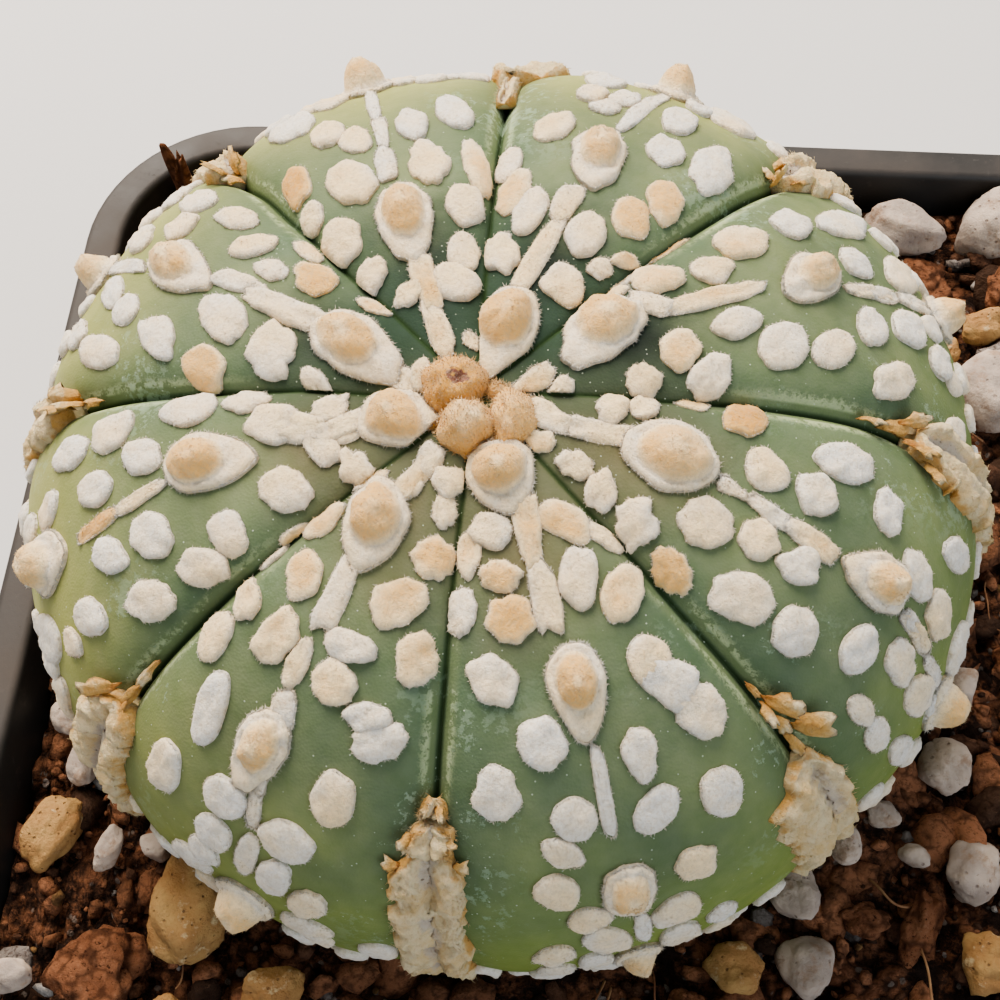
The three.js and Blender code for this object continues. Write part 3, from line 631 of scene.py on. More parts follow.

# %% [markdown]
# ## Where the felt grows
# A star cactus of this form carries three sorts of felt: areoles, the woolly mounds where spines
# would be, one after another down the middle of each rib; trails, the white strips that link them;
# and flecks, flat tufts all over the skin. They are listed for each rib, as a gardener would
# sketch them: distance from the crown, distance from the middle of the rib, width, length,
# then colour and turn if any.

# %% Flecks
CREAM, TAN, ORANGE = 0.38, 0.68, 1.12
FLECKS = [
    [(3.5, -0.2, 1.4, 1.6), (4.6, -1.5, 1.6, 1.6), (9.1, -2.5, 1.9, 2.6, 0, 40),
     (11.4, -1.4, 2.9, 2.6), (12.8, -3.5, 2.9, 2.8), (12.4, 3.4, 2.6, 3.1, CREAM),
     (10, 3.8, 1.5, 2.2), (11, 4.6, 1.3, 2), (15, -0.9, 2.2, 3.3), (15.4, 2.9, 2.2, 2.8, 0, -5),
     (14.5, 5.6, 0.5, 4.8, TAN, -20), (17.3, -3, 3.3, 3.6), (18.2, 4.3, 2.9, 3.8, CREAM, -15),
     (20.3, -4, 2.7, 3.2), (24.5, 0, 0.8, 1.5), (26, -0.5, 1.3, 3), (22.3, 5.1, 2.6, 3.5, 0, -35),
     (23.6, -2.9, 3.2, 2.6, 0, 25), (24.4, -6.5, 2.7, 3.9, 0, -5), (25.1, 1.9, 2.7, 2.7),
     (27.1, -2.9, 2.9, 3.8, 0, -10), (26.7, 5.2, 2.7, 5.7, 0, -15), (29.4, 1.4, 3.2, 4.6, 0, -25),
     (29.5, -5, 2.6, 2.6)],
    [(8.4, -1.4, 3, 2.8), (9.2, 2.9, 4.1, 2, 0, 40), (9.8, 3.4, 1.8, 2.2),
     (10.6, -2.8, 1.3, 1.9, 0, 45), (12, -3.9, 2.1, 0.9, CREAM, -45), (11.9, -1.1, 2.8, 3.3),
     (12.4, 2.6, 2.2, 4.2, 0, -15), (13.8, 4.1, 2.2, 4.1, CREAM, -25), (14.4, -3, 2.9, 3, TAN),
     (16.8, -4.3, 2.8, 3.3, TAN, -5), (16.4, 5.7, 1.8, 3.9, 0, -35), (19.7, 4.3, 2.6, 3.6, CREAM),
     (21.5, -5.8, 3.2, 5.1, 0, 5), (20.6, -2.7, 2.8, 3.2, 0, -5), (22.8, 2.3, 2.2, 1.8),
     (24.5, 1.6, 2.4, 2.4), (24.4, 3.7, 2.2, 2.8), (24.3, -2.3, 2.6, 4, 0, -5),
     (29.5, -4.8, 4.5, 4.6, 0, -10), (28.5, -2.6, 2.4, 2.8), (28.1, 4, 3.2, 4.6, 0, -15)],
    [(3.3, -0.8, 1, 1.4), (7.2, -1.2, 2.8, 3), (7.5, 1.5, 2, 1.8), (9.3, -2.3, 2, 3.2, 0, 20),
     (10, 3.2, 2.3, 2.3), (12.7, -3.4, 2.4, 3.7, 0, 30), (13.4, 4.3, 2.8, 3.9, 0, -35),
     (15.9, -5, 1.8, 5.1, CREAM, 10), (16.4, 5.5, 1.9, 2.4, 0, -10),
     (16.4, -2.3, 2.8, 4.3, 0, 10), (16.8, 2.5, 3.2, 4.6, 0, -20),
     (19.4, 5.8, 2.2, 3.6, ORANGE, -10), (20.5, -2.3, 2.3, 3.9), (21.4, -5.2, 2.7, 4.1, 0, 5),
     (20.6, 1.4, 2.4, 3.4, CREAM), (22.5, 2.9, 2.6, 3.6, CREAM), (26.7, 5.1, 3.7, 5.8, 0, -10),
     (30.2, -6.4, 3.6, 4.6, 0, 5), (28.9, 2, 3.1, 4.6, 0, 5), (30.5, -3.2, 2.5, 4.6, 0, 5)],
    [(3.2, 0.2, 2.4, 1.4), (9, 3.1, 1.8, 2), (8.3, -2.7, 1, 2.4), (12, 2.3, 3.7, 3.6),
     (12.3, -3, 2.3, 3.3, TAN, 20), (14.4, -4.7, 1.2, 2.9, 0, 30), (14.9, -2.4, 1.8, 2.5, 0, -5),
     (17.3, -3.6, 2.2, 3.3, 0, -35), (15.8, 1.6, 3, 4.4, 0, 25), (16, 4.8, 2.7, 3.4, TAN, -25),
     (20.2, -5.1, 2.1, 3.5, 0, -5), (19.8, 4.1, 2.8, 3.7, 0, 35), (23.6, 2.9, 2.7, 2.6),
     (23.7, -3.5, 2.5, 2.9, 0, 5), (24.9, 6, 2.6, 5.1, 0, -5), (24.9, -5.9, 2.7, 4.1, 0, 20),
     (26.3, 1.9, 2.3, 3.9, 0, 25), (27.9, -2.6, 2.5, 4.6, 0, 25), (30.3, -7, 2.7, 4.6, 0, 20),
     (28.6, 5.2, 2.6, 3), (16.5, -0.8, 1.6, 3.7, 0, -5), (14.4, -0.6, 1.2, 2.1, 0, 35)],
    [(7.7, 2.1, 2.9, 1.8, 0, 25), (8, -1.8, 2, 2.4), (7.5, -0.2, 1.4, 3), (8.8, 0.3, 3, 2),
     (11.2, -1.9, 2.6, 4, 0, 35), (11.6, 2.1, 3, 3.2), (13, -4.1, 1.7, 3.4, 0, 25),
     (12.7, 4.6, 0.7, 2.2, CREAM, -20), (15.6, 3.5, 3.3, 2.3, 0, 20), (17.9, 4.8, 2.7, 3.1, 0, -30),
     (16.5, -4.8, 2.5, 4.1, 0, 20), (19.8, 2, 3.2, 3.1), (19.4, -2.9, 2.4, 3.5, 0, 35),
     (21.8, 5.5, 2.7, 3.7, 0, -5), (21.8, -5.4, 2.9, 3.6, 0, 5), (23, 2.1, 2.5, 3, 0, 35),
     (23, -2.2, 2.5, 3.1), (25.5, -5.5, 2.5, 4.2, 0, 15), (26.3, 4.8, 2.7, 3),
     (27.9, -2.9, 2.1, 3, 0, -25), (29, 5.4, 2.2, 1.9, 0, 15), (31.5, -3, 2.5, 3.6, 0, -15),
     (32.5, 3.8, 3.9, 5, 0, 15), (35.5, 6.5, 2.4, 5)],
    [(4.6, -0.3, 1.6, 2.5), (5.3, 1.2, 2.6, 1.6, 0, 35), (6.9, 1.8, 1.3, 2.5, 0, -25),
     (6.2, -0.4, 1.2, 2), (7.5, -2.7, 0.8, 3.1, 0, 30), (18, -0.9, 1.4, 3.4, 0, -5),
     (9.7, 2.6, 2.1, 3.4, CREAM, -40), (10.9, -3.9, 1.9, 3.4, 0, 25), (12.7, 2.2, 3.2, 3.4, CREAM),
     (13.8, -3, 2.5, 3.1, CREAM, -5), (14.5, -5.5, 0.7, 2.8, 0, 25),
     (15.6, 4.5, 2.3, 3.7, CREAM, -35), (15.9, 1.1, 3.3, 2.1), (18.1, 1.3, 2.6, 3.1, CREAM, -40),
     (17.4, -2.6, 2.5, 3.8, CREAM, 5), (17.1, -5.2, 1.9, 2.6, CREAM, -5),
     (19.9, -5.9, 2.2, 3.5, CREAM, 10), (19.3, 3.7, 2.6, 2.1, 0, -5),
     (20.5, 4.8, 3.2, 2.6, 0, 20), (23.2, -4.2, 2.2, 5.3, 0, -5), (24.4, 3.9, 2.6, 4, CREAM, -20),
     (27.6, -1.6, 3.1, 3.2), (28.4, 2.4, 3.6, 3.5), (28.9, -5.8, 2.7, 4.6, 0, 10),
     (30.8, -1.8, 2.7, 3.3, 0, -5), (31.1, 0.4, 1.6, 4.5), (31.9, 2.2, 2.4, 3.8, 0, 10),
     (33.3, 4.3, 2.5, 3.5, 0, 15), (33.3, -2.3, 2.4, 3.1), (35.7, -3.4, 3.2, 3.3),
     (36.6, 4.2, 3.7, 3, 0, -10)],
    [(35, -0.5, 1.1, 4.6), (8.1, -1.5, 2.4, 2.4), (9.3, -3, 1.3, 3.3, 0, 25),
     (9, 2.2, 2.1, 4, 0, -35), (10.7, -1.8, 2.4, 2.1, CREAM), (13.1, -2, 2.6, 3.3, TAN, 30),
     (12.1, 1.9, 2.4, 3.8, 0, 5), (10.9, 4, 1.1, 3.4, 0, -30), (12.6, -4.4, 1.6, 3.7, 0, 30),
     (14, 3.8, 2.8, 3.4, CREAM, 30), (16.4, -3.9, 2.6, 3.7, 0, 35), (17.9, 3.9, 2.6, 3.4, 0, -10),
     (19.6, 4.6, 2.7, 4.6, 0, -30), (21.8, 5.6, 2.8, 4, 0, -25), (20.2, -2.6, 2.8, 3.6, 0, 25),
     (22.9, -5.7, 2.5, 4, 0, 20), (22.3, 1.9, 2, 3.6, 0, 5), (24.9, -2.3, 2.7, 3),
     (25.8, 1.8, 2.6, 3.3, 0, 35), (26.9, -3.4, 1.9, 2.8, 0, -40), (26.7, 5.3, 2.7, 3.7, 0, -5),
     (29.6, -4.3, 2.8, 3), (30.5, 3, 2.6, 2.9), (32.4, -3.1, 2.7, 2.6), (34.2, 1.5, 3.3, 3.6),
     (35.5, -2.5, 2.9, 4.5, 0, -20), (36.6, -5.6, 2.6, 3.5, 0, 30), (38.3, 1.5, 2.9, 4.6, 0, -5),
     (37.6, 4.1, 2.2, 3.5), (39, -3.4, 2.4, 4), (40.5, -5.7, 2.4, 4)],
    [(4.5, -1.3, 1.6, 2), (6.9, -1.7, 1.7, 2.4, 0, 20), (7.4, 2.2, 2.7, 1.7, 0, 45),
     (9.1, 3.1, 2.3, 1.5, 0, 40), (11.5, -3.4, 3.7, 2, 0, -40), (11.8, 4.8, 1.2, 2.3, 0, -5),
     (14.7, -5, 1.7, 3.7, TAN, 35), (14.4, -1.9, 3, 3.6, 0, 25),
     (14.7, 4.9, 2.1, 3.6, ORANGE, -45), (17.3, -1.5, 2.4, 2.9, 0, 40), (16.2, 2.4, 2.8, 2.9),
     (18.5, -4.8, 3, 4.2, 0, 15), (20, -1.8, 2.5, 2.8), (19.3, 2.4, 2.8, 2.9),
     (20.7, 5.1, 2.6, 4.6, 0, -25), (22, -5.1, 2.7, 3.6, 0, 40), (23.9, 3.7, 3, 2.3, 0, -15),
     (25.9, -3.8, 3.4, 2.7, 0, -5), (27.3, 1.6, 2.4, 3.6, 0, 30), (28.3, -0.7, 1, 2.2, 0, 5),
     (28.9, -6.3, 1.7, 3), (31.5, -6.6, 1.9, 3.4, 0, 10), (29.2, -2.8, 2.4, 3.6, 0, 25),
     (30.6, 1, 3.1, 3.6), (30.8, 5, 2.2, 4.6, 0, -15), (30.1, -1.2, 1, 2.8, 0, -5),
     (32.8, -3.1, 2.9, 4), (36, 1.5, 4.1, 4.6, 0, -25), (35.5, -5.9, 2.2, 4.2),
     (36.5, -2.3, 2.6, 4), (8.9, -2.5, 2.9, 1.7, 0, -40)],
]
# An areole's row ends with how much further its white felt reaches towards the crown than away
# from it, and the height of its mound.
AREOLES = [
    [(8.3, 1.5, 2.9, 3.7, 0.66, -30, 1.3, 1.2), (21, 0.9, 2.2, 3.1, 0.48, -20, 0.9, 1.1),
     (33, -0.9, 2.5, 3, 0.38, 0, 0, 1.7)],
    [(4.7, 0.4, 2.8, 3.8, 0.8, -12, 1.3, 1.4), (18.1, 0.8, 2.5, 3.7, 0.58, -15, 1.1, 1.2),
     (30.3, -0.3, 2.6, 3, 0.44, 0, 0, 1.9)],
    [(12.7, 0.2, 2.6, 3.8, 0.72, 8, 1.2, 1.3), (29.5, -0.6, 2.8, 3.2, 0.36, 0, 0, 2.2)],
    [(8, 0, 2.8, 3.9, 0.66, 12, 1.5, 1.2), (21.5, -0.7, 2.4, 4, 0.4, 12, 1.4, 1.1),
     (31, 0.2, 2.4, 3, 0.4, 0, 0, 1.8)],
    [(4.6, -0.1, 2.7, 3.4, 0.82, 47, 0.7, 1.2), (15.8, -1.1, 2.7, 3.5, 0.74, 14, 1.4, 1.2),
     (29.3, 0, 3, 3.4, 0.46, 0, 0.8, 1.6)],
    [(8.9, -1.1, 2.8, 3.4, 0.72, -8, -1, 1.4), (23, -0.7, 2.1, 3.5, 0.62, 5, -1.4, 1),
     (37, 0.2, 2.9, 3.6, 0.3, 0, 0, 1.8)],
    [(4.9, -0.1, 2.7, 2.9, 0.74, 0, -0.8, 1.5), (17.2, 0.1, 2.1, 3.3, 0.74, 8, -1.5, 1.1),
     (30.6, -0.7, 2.1, 3.1, 0.5, 3, -0.3, 0.7), (40, -1, 2, 3, 0.2, 0, 0, 1)],
    [(11.2, 0.8, 3.2, 4.2, 0.6, -5, 0.4, 1.2), (25.1, 0, 2.3, 3.2, 0.5, -12, 0.9, 1.1),
     (37, -1.8, 2.8, 3.2, 0.32, 0, 0, 1.7)],
]
# A trail runs between two points, each with its distance, its offset and its width there.
TRAILS = [
    [(10.4, 2.3, 2.2, 11.8, 1.4, 1.4), (11.2, 1.4, 1.4, 17.5, 0.8, 1.4),
     (4, -0.2, 1.7, 2.3, -0.8, 1.5), (23, 0.1, 1.1, 27.4, -0.7, 1.1),
     (27.4, -0.7, 1.2, 31, -0.9, 1.4)],
    [(6.6, 0.7, 1.6, 12.5, 0.8, 1.3), (12.2, 0.8, 1.3, 14.5, 0.9, 2),
     (20.5, 0.6, 1.3, 28.5, -0.3, 1.2)],
    [(9.8, 0.1, 1.7, 5.8, 0.7, 1.4), (6.4, 0.6, 1.4, 3, 0.8, 1.6), (16, 0.3, 1.7, 18.6, 0, 1.3),
     (18.7, -0.1, 0.8, 22.5, -0.5, 1.3), (22, -0.5, 0.9, 28, -0.6, 1)],
    [(10, -0.3, 2.3, 15, -0.4, 1.6), (24.1, -0.4, 1.2, 30, 0.1, 1.3), (4.6, 0.6, 1.5, 3.5, 1, 1.5)],
    [(6, -0.6, 1.6, 8.8, -0.5, 1.4), (8.4, -0.5, 1.6, 10.8, -1.6, 2.2),
     (18, -0.7, 0.8, 21.8, -0.2, 1.1), (21.5, -0.2, 1, 25, 0.1, 1.3, ORANGE)],
    [(7.2, -0.9, 1.4, 4, 0, 1.4), (11, -1.2, 1.4, 15.8, -0.6, 1.8), (24.6, -0.2, 1.2, 26, 0.1, 0.7),
     (25.8, 0, 0.8, 28.6, 0.3, 1.1), (19.8, -0.6, 1.4, 21.8, -0.3, 1.8)],
    [(6.6, 0.6, 1.8, 10.5, -0.1, 1.3), (10.6, 0.2, 1.6, 14.2, -0.2, 1.7),
     (18.4, 0.2, 1.3, 20.5, -0.3, 0.5), (20.8, -0.2, 0.8, 26.5, -0.7, 1.1)],
    [(2.6, 0.3, 2, 5.6, 0.2, 1.3), (5.2, 0.2, 1.4, 9, 1, 1.6), (14, 0.6, 1.2, 15.6, 0.4, 0.5),
     (15.7, 0.4, 0.9, 18.6, 0.1, 1.3), (18.2, 0, 1.2, 21.6, -0.3, 1.7, CREAM),
     (27.4, -0.6, 1, 31, -1.3, 1.2), (31, -1.3, 0.9, 35, -1.6, 1.2)],
]
for sort, tables in (("flecks", FLECKS), ("areoles", AREOLES), ("trails", TRAILS)):
    print(sort, sum(len(rows) for rows in tables))

# %% [markdown]
# ## Felt cushions
# Each tuft is a low cushion with a steep edge and an outline that is never quite an ellipse. It
# follows the skin under it, because each of its points is placed in the rib's coordinates and
# then lifted along the skin's own normal. One function closes and roughens every sort of felt.

# %% Felt cushions
SUNK = 0.25  # how far a cushion's underside lies below the skin
FURROW_MARGIN = 0.12  # felt stops this far short of the furrow
NEAREST_CROWN = 0.3
LUMP_SIZES = (1.4, 0.55)
FINE_LUMPS = 0.45  # the height of the fine lumps, as a share of the broad ones
EDGE_WAVES = np.array([2, 3, 4, 5, 7, 10])


def columns_of(table, count):
    """The columns of a table of tufts, with noughts where a row leaves its last ones out. Each
    column has one value for each tuft, ready to be spread over that tuft's rings."""
    rows = np.array([(*row, *[0] * count)[:count] for row in table], float)
    return rows.T[:, :, None, None]


def on_skin(rib, along, across, lift):
    """Points at a height above the rib, kept on its own side of the furrows."""
    half = half_width(along, rib)
    limit = np.maximum(half - FURROW_MARGIN, 0.1)
    point, _, _, out = frame_at(rib, along, np.clip(across, -limit, limit))
    return point + lift[..., None] * out, out


def sheet(rib, middle, rings, lift, warm, seed, lumps=0.08):
    """Closed cushions from rings (sideways, lengthways) round a middle and a lift for each ring
    point. Returns them, the colour of each point, and what hairs need to grow on them: points,
    normals and colours of the rings, and the outward ways at the rim."""
    along, across, turn = middle
    sideways, lengthways = rings
    x = across + sideways * np.cos(turn) - lengthways * np.sin(turn)
    s = along + sideways * np.sin(turn) + lengthways * np.cos(turn)
    base, out = on_skin(rib, np.maximum(s, NEAREST_CROWN), x, lift)
    rough = ripple(base, LUMP_SIZES[0], seed + 1)
    rough = (rough + FINE_LUMPS * ripple(base, LUMP_SIZES[1], seed + 2)) * lumps
    inside = 1 - np.arange(x.shape[1])[:, None] / (x.shape[1] - 1)
    base = base + (rough * np.clip(inside * 3, 0, 1) * (lift > 0))[..., None] * out
    top = base[:, 0].mean(1) + 0.03 * out[:, 0].mean(1)
    bottom, _ = on_skin(rib, along[:, 0, 0], x[:, 0].mean(1), np.full(len(x), -SUNK))
    grown = base[:, :-1], out[:, :-1], warm[:, :-1], unit(base[:, -2] - base[:, -4])
    ends = np.stack([warm[:, 0, 0], warm[:, -1, 0]], 1)
    tones = np.concatenate([warm[:, :, ::-1].reshape(len(x), -1), ends], 1).ravel()
    # From x towards s is clockwise seen from outside, so the columns are turned round.
    return shells(lean(base[:, :, ::-1]), lean(top), lean(bottom)), tones, grown


def ragged(count, columns, amount, draw):
    """Edges of cushions, as shares of an ellipse: one plus six small waves of random phase."""
    around = once_round(columns)
    waves = EDGE_WAVES[:, None]
    swing = draw.normal(0, 1, (count, len(waves), 1)) * amount / waves**0.35
    phases = draw.uniform(0, 6.3, (count, len(waves), 1))
    return 1 + (swing * np.cos(waves * around + phases)).sum(1)[:, None]


# %% [markdown]
# ## Flat tufts
# A fleck is flat felt with a rounded rim. A trail is the same felt drawn out from one point to
# the next and squarer at its ends, so both come from one function.

# %% Flat tufts
FLAT_RINGS = np.array([0.35, 0.65, 0.84, 0.95, 1.0, 0.9])
FELT_SIZE = 0.9  # felt packed flat, as a share of the size that its loose hairs reach
EDGE_SWING = 0.038
CROWN_SWING = 0.03  # a young tuft's edge is this much more ragged
TURN_SPREAD = 4  # degrees
THICKNESS = 0.33  # of a tuft that is 2 mm wide
SET_BY_HAND = 0.3  # a tone above this stays as it was set
CROWN_TONE = 0.32
SIDE_TONE = 0.22  # how much warmer a tuft is on one of its sides
RIM_PALER = 0.55
SQUARER = 2.7  # the power of a trail's edge, where an ellipse has 2


def trail_rows(table):
    """Rows of cushions that run from point to point: middle, mean width, length with a share of
    both widths added, colour, turn, and how much wider the far end is than the near one."""
    start, near, width, stop, far, last, tone = columns_of(table, 7)[:, :, 0, 0]
    long = np.hypot(stop - start, far - near) + (width + last) * 0.3
    turn = np.degrees(np.arctan2(near - far, stop - start))
    return np.column_stack([(start + stop) / 2, (near + far) / 2, (width + last) / 2, long, tone,
                            turn, (last - width) / (last + width)])


def flat_tufts(rib, rows, seed, power=2.0, columns=28):
    """Flecks and trails. At a share r of the way to the edge, the height is a thickness times
    (1 - r^7)^0.5. The edge is a ragged superellipse of the given power, widened towards its far
    end by the share in the last column."""
    draw = np.random.default_rng(seed)
    along, across, width, length, tone, turn, taper = columns_of(rows, 7)
    around = once_round(columns)
    share = FLAT_RINGS[None, :, None]
    swing = EDGE_SWING + CROWN_SWING * np.clip(1.4 - along / 20, 0, 1)
    reach = share * ragged(len(along), columns, swing, draw) * FELT_SIZE / 2
    cosine = np.sign(np.cos(around)) * np.abs(np.cos(around)) ** (2 / power)
    sine = np.sign(np.sin(around)) * np.abs(np.sin(around)) ** (2 / power)
    rings = reach * width * cosine * (1 + taper * sine), reach * length * sine
    turn = np.radians(turn + draw.normal(0, TURN_SPREAD, turn.shape))
    thick = THICKNESS * np.clip(width / 2, 0.6, 1.15) * draw.uniform(0.85, 1.2, along.shape)
    lift = thick * (1 - share.clip(0, 1) ** 7) ** 0.5 + 0 * rings[0]
    lift[:, -1] = -SUNK
    varied = tone + draw.uniform(-0.05, 0.42, tone.shape) ** 2 * 2
    tone = np.where(tone > SET_BY_HAND, tone, varied)
    tone = tone + CROWN_TONE * np.clip(1.6 - along / 14, 0, 1)
    one_side = SIDE_TONE * np.cos(around - draw.uniform(0, 6.3, along.shape)) * share
    warm = tone * (1 - RIM_PALER * share**3) + one_side * tone.clip(0.1, 0.5) + 0 * lift
    return sheet(rib, (along, across, turn), rings, lift, warm, seed)


# %% [markdown]
# ## Mounds
# An areole is a loose, lumpy mound of tan wool on a skirt of white felt, which runs out to a
# point at one end.

# %% Mounds
MOUND_RINGS = np.array([0.12, 0.25, 0.38, 0.5, 0.59, 0.66, 0.7, 0.78, 0.88, 0.96, 1.0, 0.9])
MOUND_EDGE = 0.7  # the ring at a mound's foot, as a share of the way to the edge of its felt
MOUND_COLUMNS = 40
MOUND_SWING = 0.035
MOUND_HEIGHT = 0.9
MOUND_LUMPS = 0.11
SKIRT = 0.42  # the width of the white felt round a mound
SKIRT_THICKNESS = 0.45
LEAST_TAN = 0.60  # the tone of the palest mounds


def mounds(rib, rows, seed):
    """Areoles. Up to the mound's foot the rings are shares q of its ellipse, and the mound rises
    over the felt by its height times (1 - q^2)^0.75. From there a skirt of white felt goes on,
    wider by a margin and drawn out towards one end. The tone falls off steeply at the foot."""
    draw = np.random.default_rng(seed)
    along, across, width, length, tone, turn, more, high = columns_of(rows, 8)
    tone = np.maximum(tone, LEAST_TAN)
    around = once_round(MOUND_COLUMNS)
    share = MOUND_RINGS[None, :, None]
    mound = np.clip(share / MOUND_EDGE, 0, 1)
    skirt = np.clip((share - MOUND_EDGE) / (1 - MOUND_EDGE), 0, 1)
    edge = 1 + (ragged(len(along), MOUND_COLUMNS, MOUND_SWING, draw) - 1) * share
    point = np.abs(more) * np.abs(np.sin(around)) ** 1.5
    tip = np.where(np.sin(around) * more < 0, point, 0)
    sideways = (width / 2 * mound + SKIRT * skirt) * np.cos(around) * edge
    lengthways = (length / 2 * mound + (SKIRT + tip) * skirt) * np.sin(around) * edge
    lift = SKIRT_THICKNESS * (1 - skirt**4) ** 0.5
    lift = lift + MOUND_HEIGHT * high * (1 - mound**2) ** 0.75 + 0 * sideways
    lift[:, -1] = -SUNK
    # Painted highlight: the top of each mound is made paler.
    apex_highlight = np.exp(-((share / 0.17) ** 2)) * 0.4 * tone
    one_side = 0.12 * tone * mound * np.cos(around - draw.uniform(0, 6.3, along.shape))
    warm = (tone - apex_highlight + one_side) * (1 - 0.75 * mound**9) + 0.06 * skirt + 0 * sideways
    middle = along, across, np.radians(turn)
    return sheet(rib, middle, (sideways, lengthways), lift, warm, seed, MOUND_LUMPS)


# %% [markdown]
# ## Hairs
# A felt edge has no line: it is fringed with hairs, and a nap of them stands up all over. A
# three-sided spike is enough for something finer than a thread.

# %% Hairs
HAIR_WIDTH = 0.024
SKEW = [0.31, 0.17, 0.53]  # keeps every hair's second direction apart from its own
FRINGE_TONE = 0.05


def hairs(roots, ways, lengths):
    """Closed thin spikes: a small triangle round each root and a point along its way."""
    first = unit(np.cross(ways, ways[:, [1, 2, 0]] + SKEW))
    second = np.cross(ways, first)
    corners = [roots + HAIR_WIDTH * (math.cos(a) * first + math.sin(a) * second)
               for a in once_round(3)]
    points = np.stack([*corners, roots + ways * lengths[:, None]], axis=1)
    sides = np.array([[0, 1, 3], [1, 2, 3], [2, 0, 3], [0, 2, 1]])
    faces = sides + 4 * np.arange(len(roots))[:, None, None]
    return points.reshape(-1, 3), [faces.reshape(-1, 3)]


def leaning_hairs(roots, ways, lengths):
    """Hairs from roots and ways given in the plant's own frame."""
    return hairs(lean(roots).reshape(-1, 3), tilt(ways).reshape(-1, 3), lengths)


def fringe(grown, each, length, seed):
    """Hairs round the rims of cushions, leaning outwards and a little up, and their colours."""
    draw = np.random.default_rng(seed)
    points, out, _, ways = grown
    roots = points[:, -1] * 0.4 + points[:, -2] * 0.6
    count, columns = roots.shape[:2]
    place = draw.uniform(0, columns, (count, each))
    low = place.astype(int)
    high = (low + 1) % columns
    share = (place - low)[..., None]
    pick = np.arange(count)[:, None]
    root = roots[pick, low] * (1 - share) + roots[pick, high] * share
    way = ways[pick, low] * (1 - share) + ways[pick, high] * share
    rise = draw.uniform(0.0, 0.9, (count, each, 1))
    way = unit(way + out[pick, -1, low] * rise + draw.normal(0, 0.3, way.shape))
    root = root + out[pick, -1, low] * rise * 0.1
    made = leaning_hairs(root, way, length * draw.uniform(0.4, 1.2, count * each))
    return made, np.full(len(made[0]), FRINGE_TONE)


def nap(grown, each, length, seed):
    """Hairs that stand all over cushions, every way but mostly up, in the colour they grow on."""
    draw = np.random.default_rng(seed)
    points, out, warm, _ = grown
    count, rows, columns = points.shape[:3]
    row = draw.integers(0, rows - 1, (count, each))
    column = draw.integers(0, columns, (count, each))
    cushion = np.arange(count)[:, None]
    pick = cushion, row, column
    beside = cushion, np.minimum(row + 1, rows - 1), (column + 1) % columns
    share = draw.uniform(0, 1, (count, each, 1))
    root = points[pick] * share + points[beside] * (1 - share)
    way = unit(out[pick] * 0.8 + draw.normal(0, 0.5, root.shape))
    made = leaning_hairs(root, way, length * draw.uniform(0.5, 1.2, count * each))
    tone = (warm * np.ones(columns))[pick].ravel() - draw.uniform(-0.03, 0.1, count * each)
    return made, np.repeat(tone, 4)


# %% [markdown]
# ## The colour of the felt
# Wool is white, cream, tan, orange or brown. One number for each point, its tone, says how far
# along that row its colour is.

# %% Felt finish
def wool_finish():
    """White felt that turns cream, tan, orange and brown as the layer `tone` rises, matt, with
    the fine grain of packed hairs and a soft sheen at grazing angles."""
    paint = Paint("felt_wool", Roughness=0.95, Specular_IOR_Level=0.15, Sheen_Weight=0.25,
                  Sheen_Roughness=0.6, Sheen_Tint=(1.0, 0.96, 0.9, 1.0), Subsurface_Weight=0.2,
                  Subsurface_Scale=0.0006, Subsurface_Radius=(1.0, 0.8, 0.6))
    blot = paint.noise(2.2, 4)
    fine = paint.noise(0.22, 5, 0.75)
    tuft = paint.noise(0.7, 4, 0.65)
    tone = paint.layer("tone") + (blot - 0.5) * 0.5 + (tuft - 0.5) * 0.25
    felt = paint.blend(tone.between(-0.1, 0.4), (0.80, 0.765, 0.70), (0.93, 0.72, 0.43))
    felt = paint.blend(tone.between(0.34, 0.72), felt, (0.80, 0.48, 0.165))
    felt = paint.blend(tone.between(0.80, 1.05), felt, (0.68, 0.35, 0.08))
    felt = paint.blend(tone.between(1.25, 1.6), felt, (0.24, 0.09, 0.055))
    felt = paint.blend((1 - fine.between(0.38, 0.56)) * 0.4, felt, (0.54, 0.42, 0.27))
    return paint.finish(felt, None, fine + tuft * 1.2, 0.16, 0.8)


WOOL = wool_finish()

# %% [markdown]
# ## The felt of each rib
# The listed rows stop where a rib turns under. Further down, the flecks go on in loose
# rows to the soil, so those are laid on a jittered grid with a few left out, clear of the corky
# furrows. Then each rib's felt is joined as one piece.

# %% Felt on the ribs
LOWER_FROM = [30.5, 31, 29, 31, 34, 38.5, 42, 38.5]  # where each rib's listed rows stop
LOWER_TO = 50
ROW_GAP = 3.3
ACROSS_GAP = 3.5
LOW_SIZE = np.array([2.3, 2.9])
LEFT_OUT = 0.1
CORK_MARGIN = 2.6
TRAIL_MARGIN = 1.2
# For flecks, areoles, trails and low flecks, in that order:
FRINGE_HAIRS = [140, 640, 240, 20]
FRINGE_LENGTHS = [0.17, 0.27, 0.22, 0.2]
NAP_HAIRS = [60, 320, 110, 0]
NAP_LENGTH = 0.13


def lower_flecks(rib):
    """A table of tufts on a jittered grid from the last listed row to the soil."""
    draw = np.random.default_rng(500 + rib)
    table = []
    for row, along in enumerate(np.arange(LOWER_FROM[rib], LOWER_TO, ROW_GAP)):
        reach = half_width(along, rib) - CORK_MARGIN
        for across in np.arange(-reach + (row % 2) * ACROSS_GAP / 2, reach, ACROSS_GAP):
            jitter = draw.normal(0, 0.3, 2)
            size = draw.uniform(0.8, 1.15)
            if draw.uniform() > LEFT_OUT and abs(across) > TRAIL_MARGIN:
                table.append((along + jitter[0], across + jitter[1], *LOW_SIZE * size))
    return table


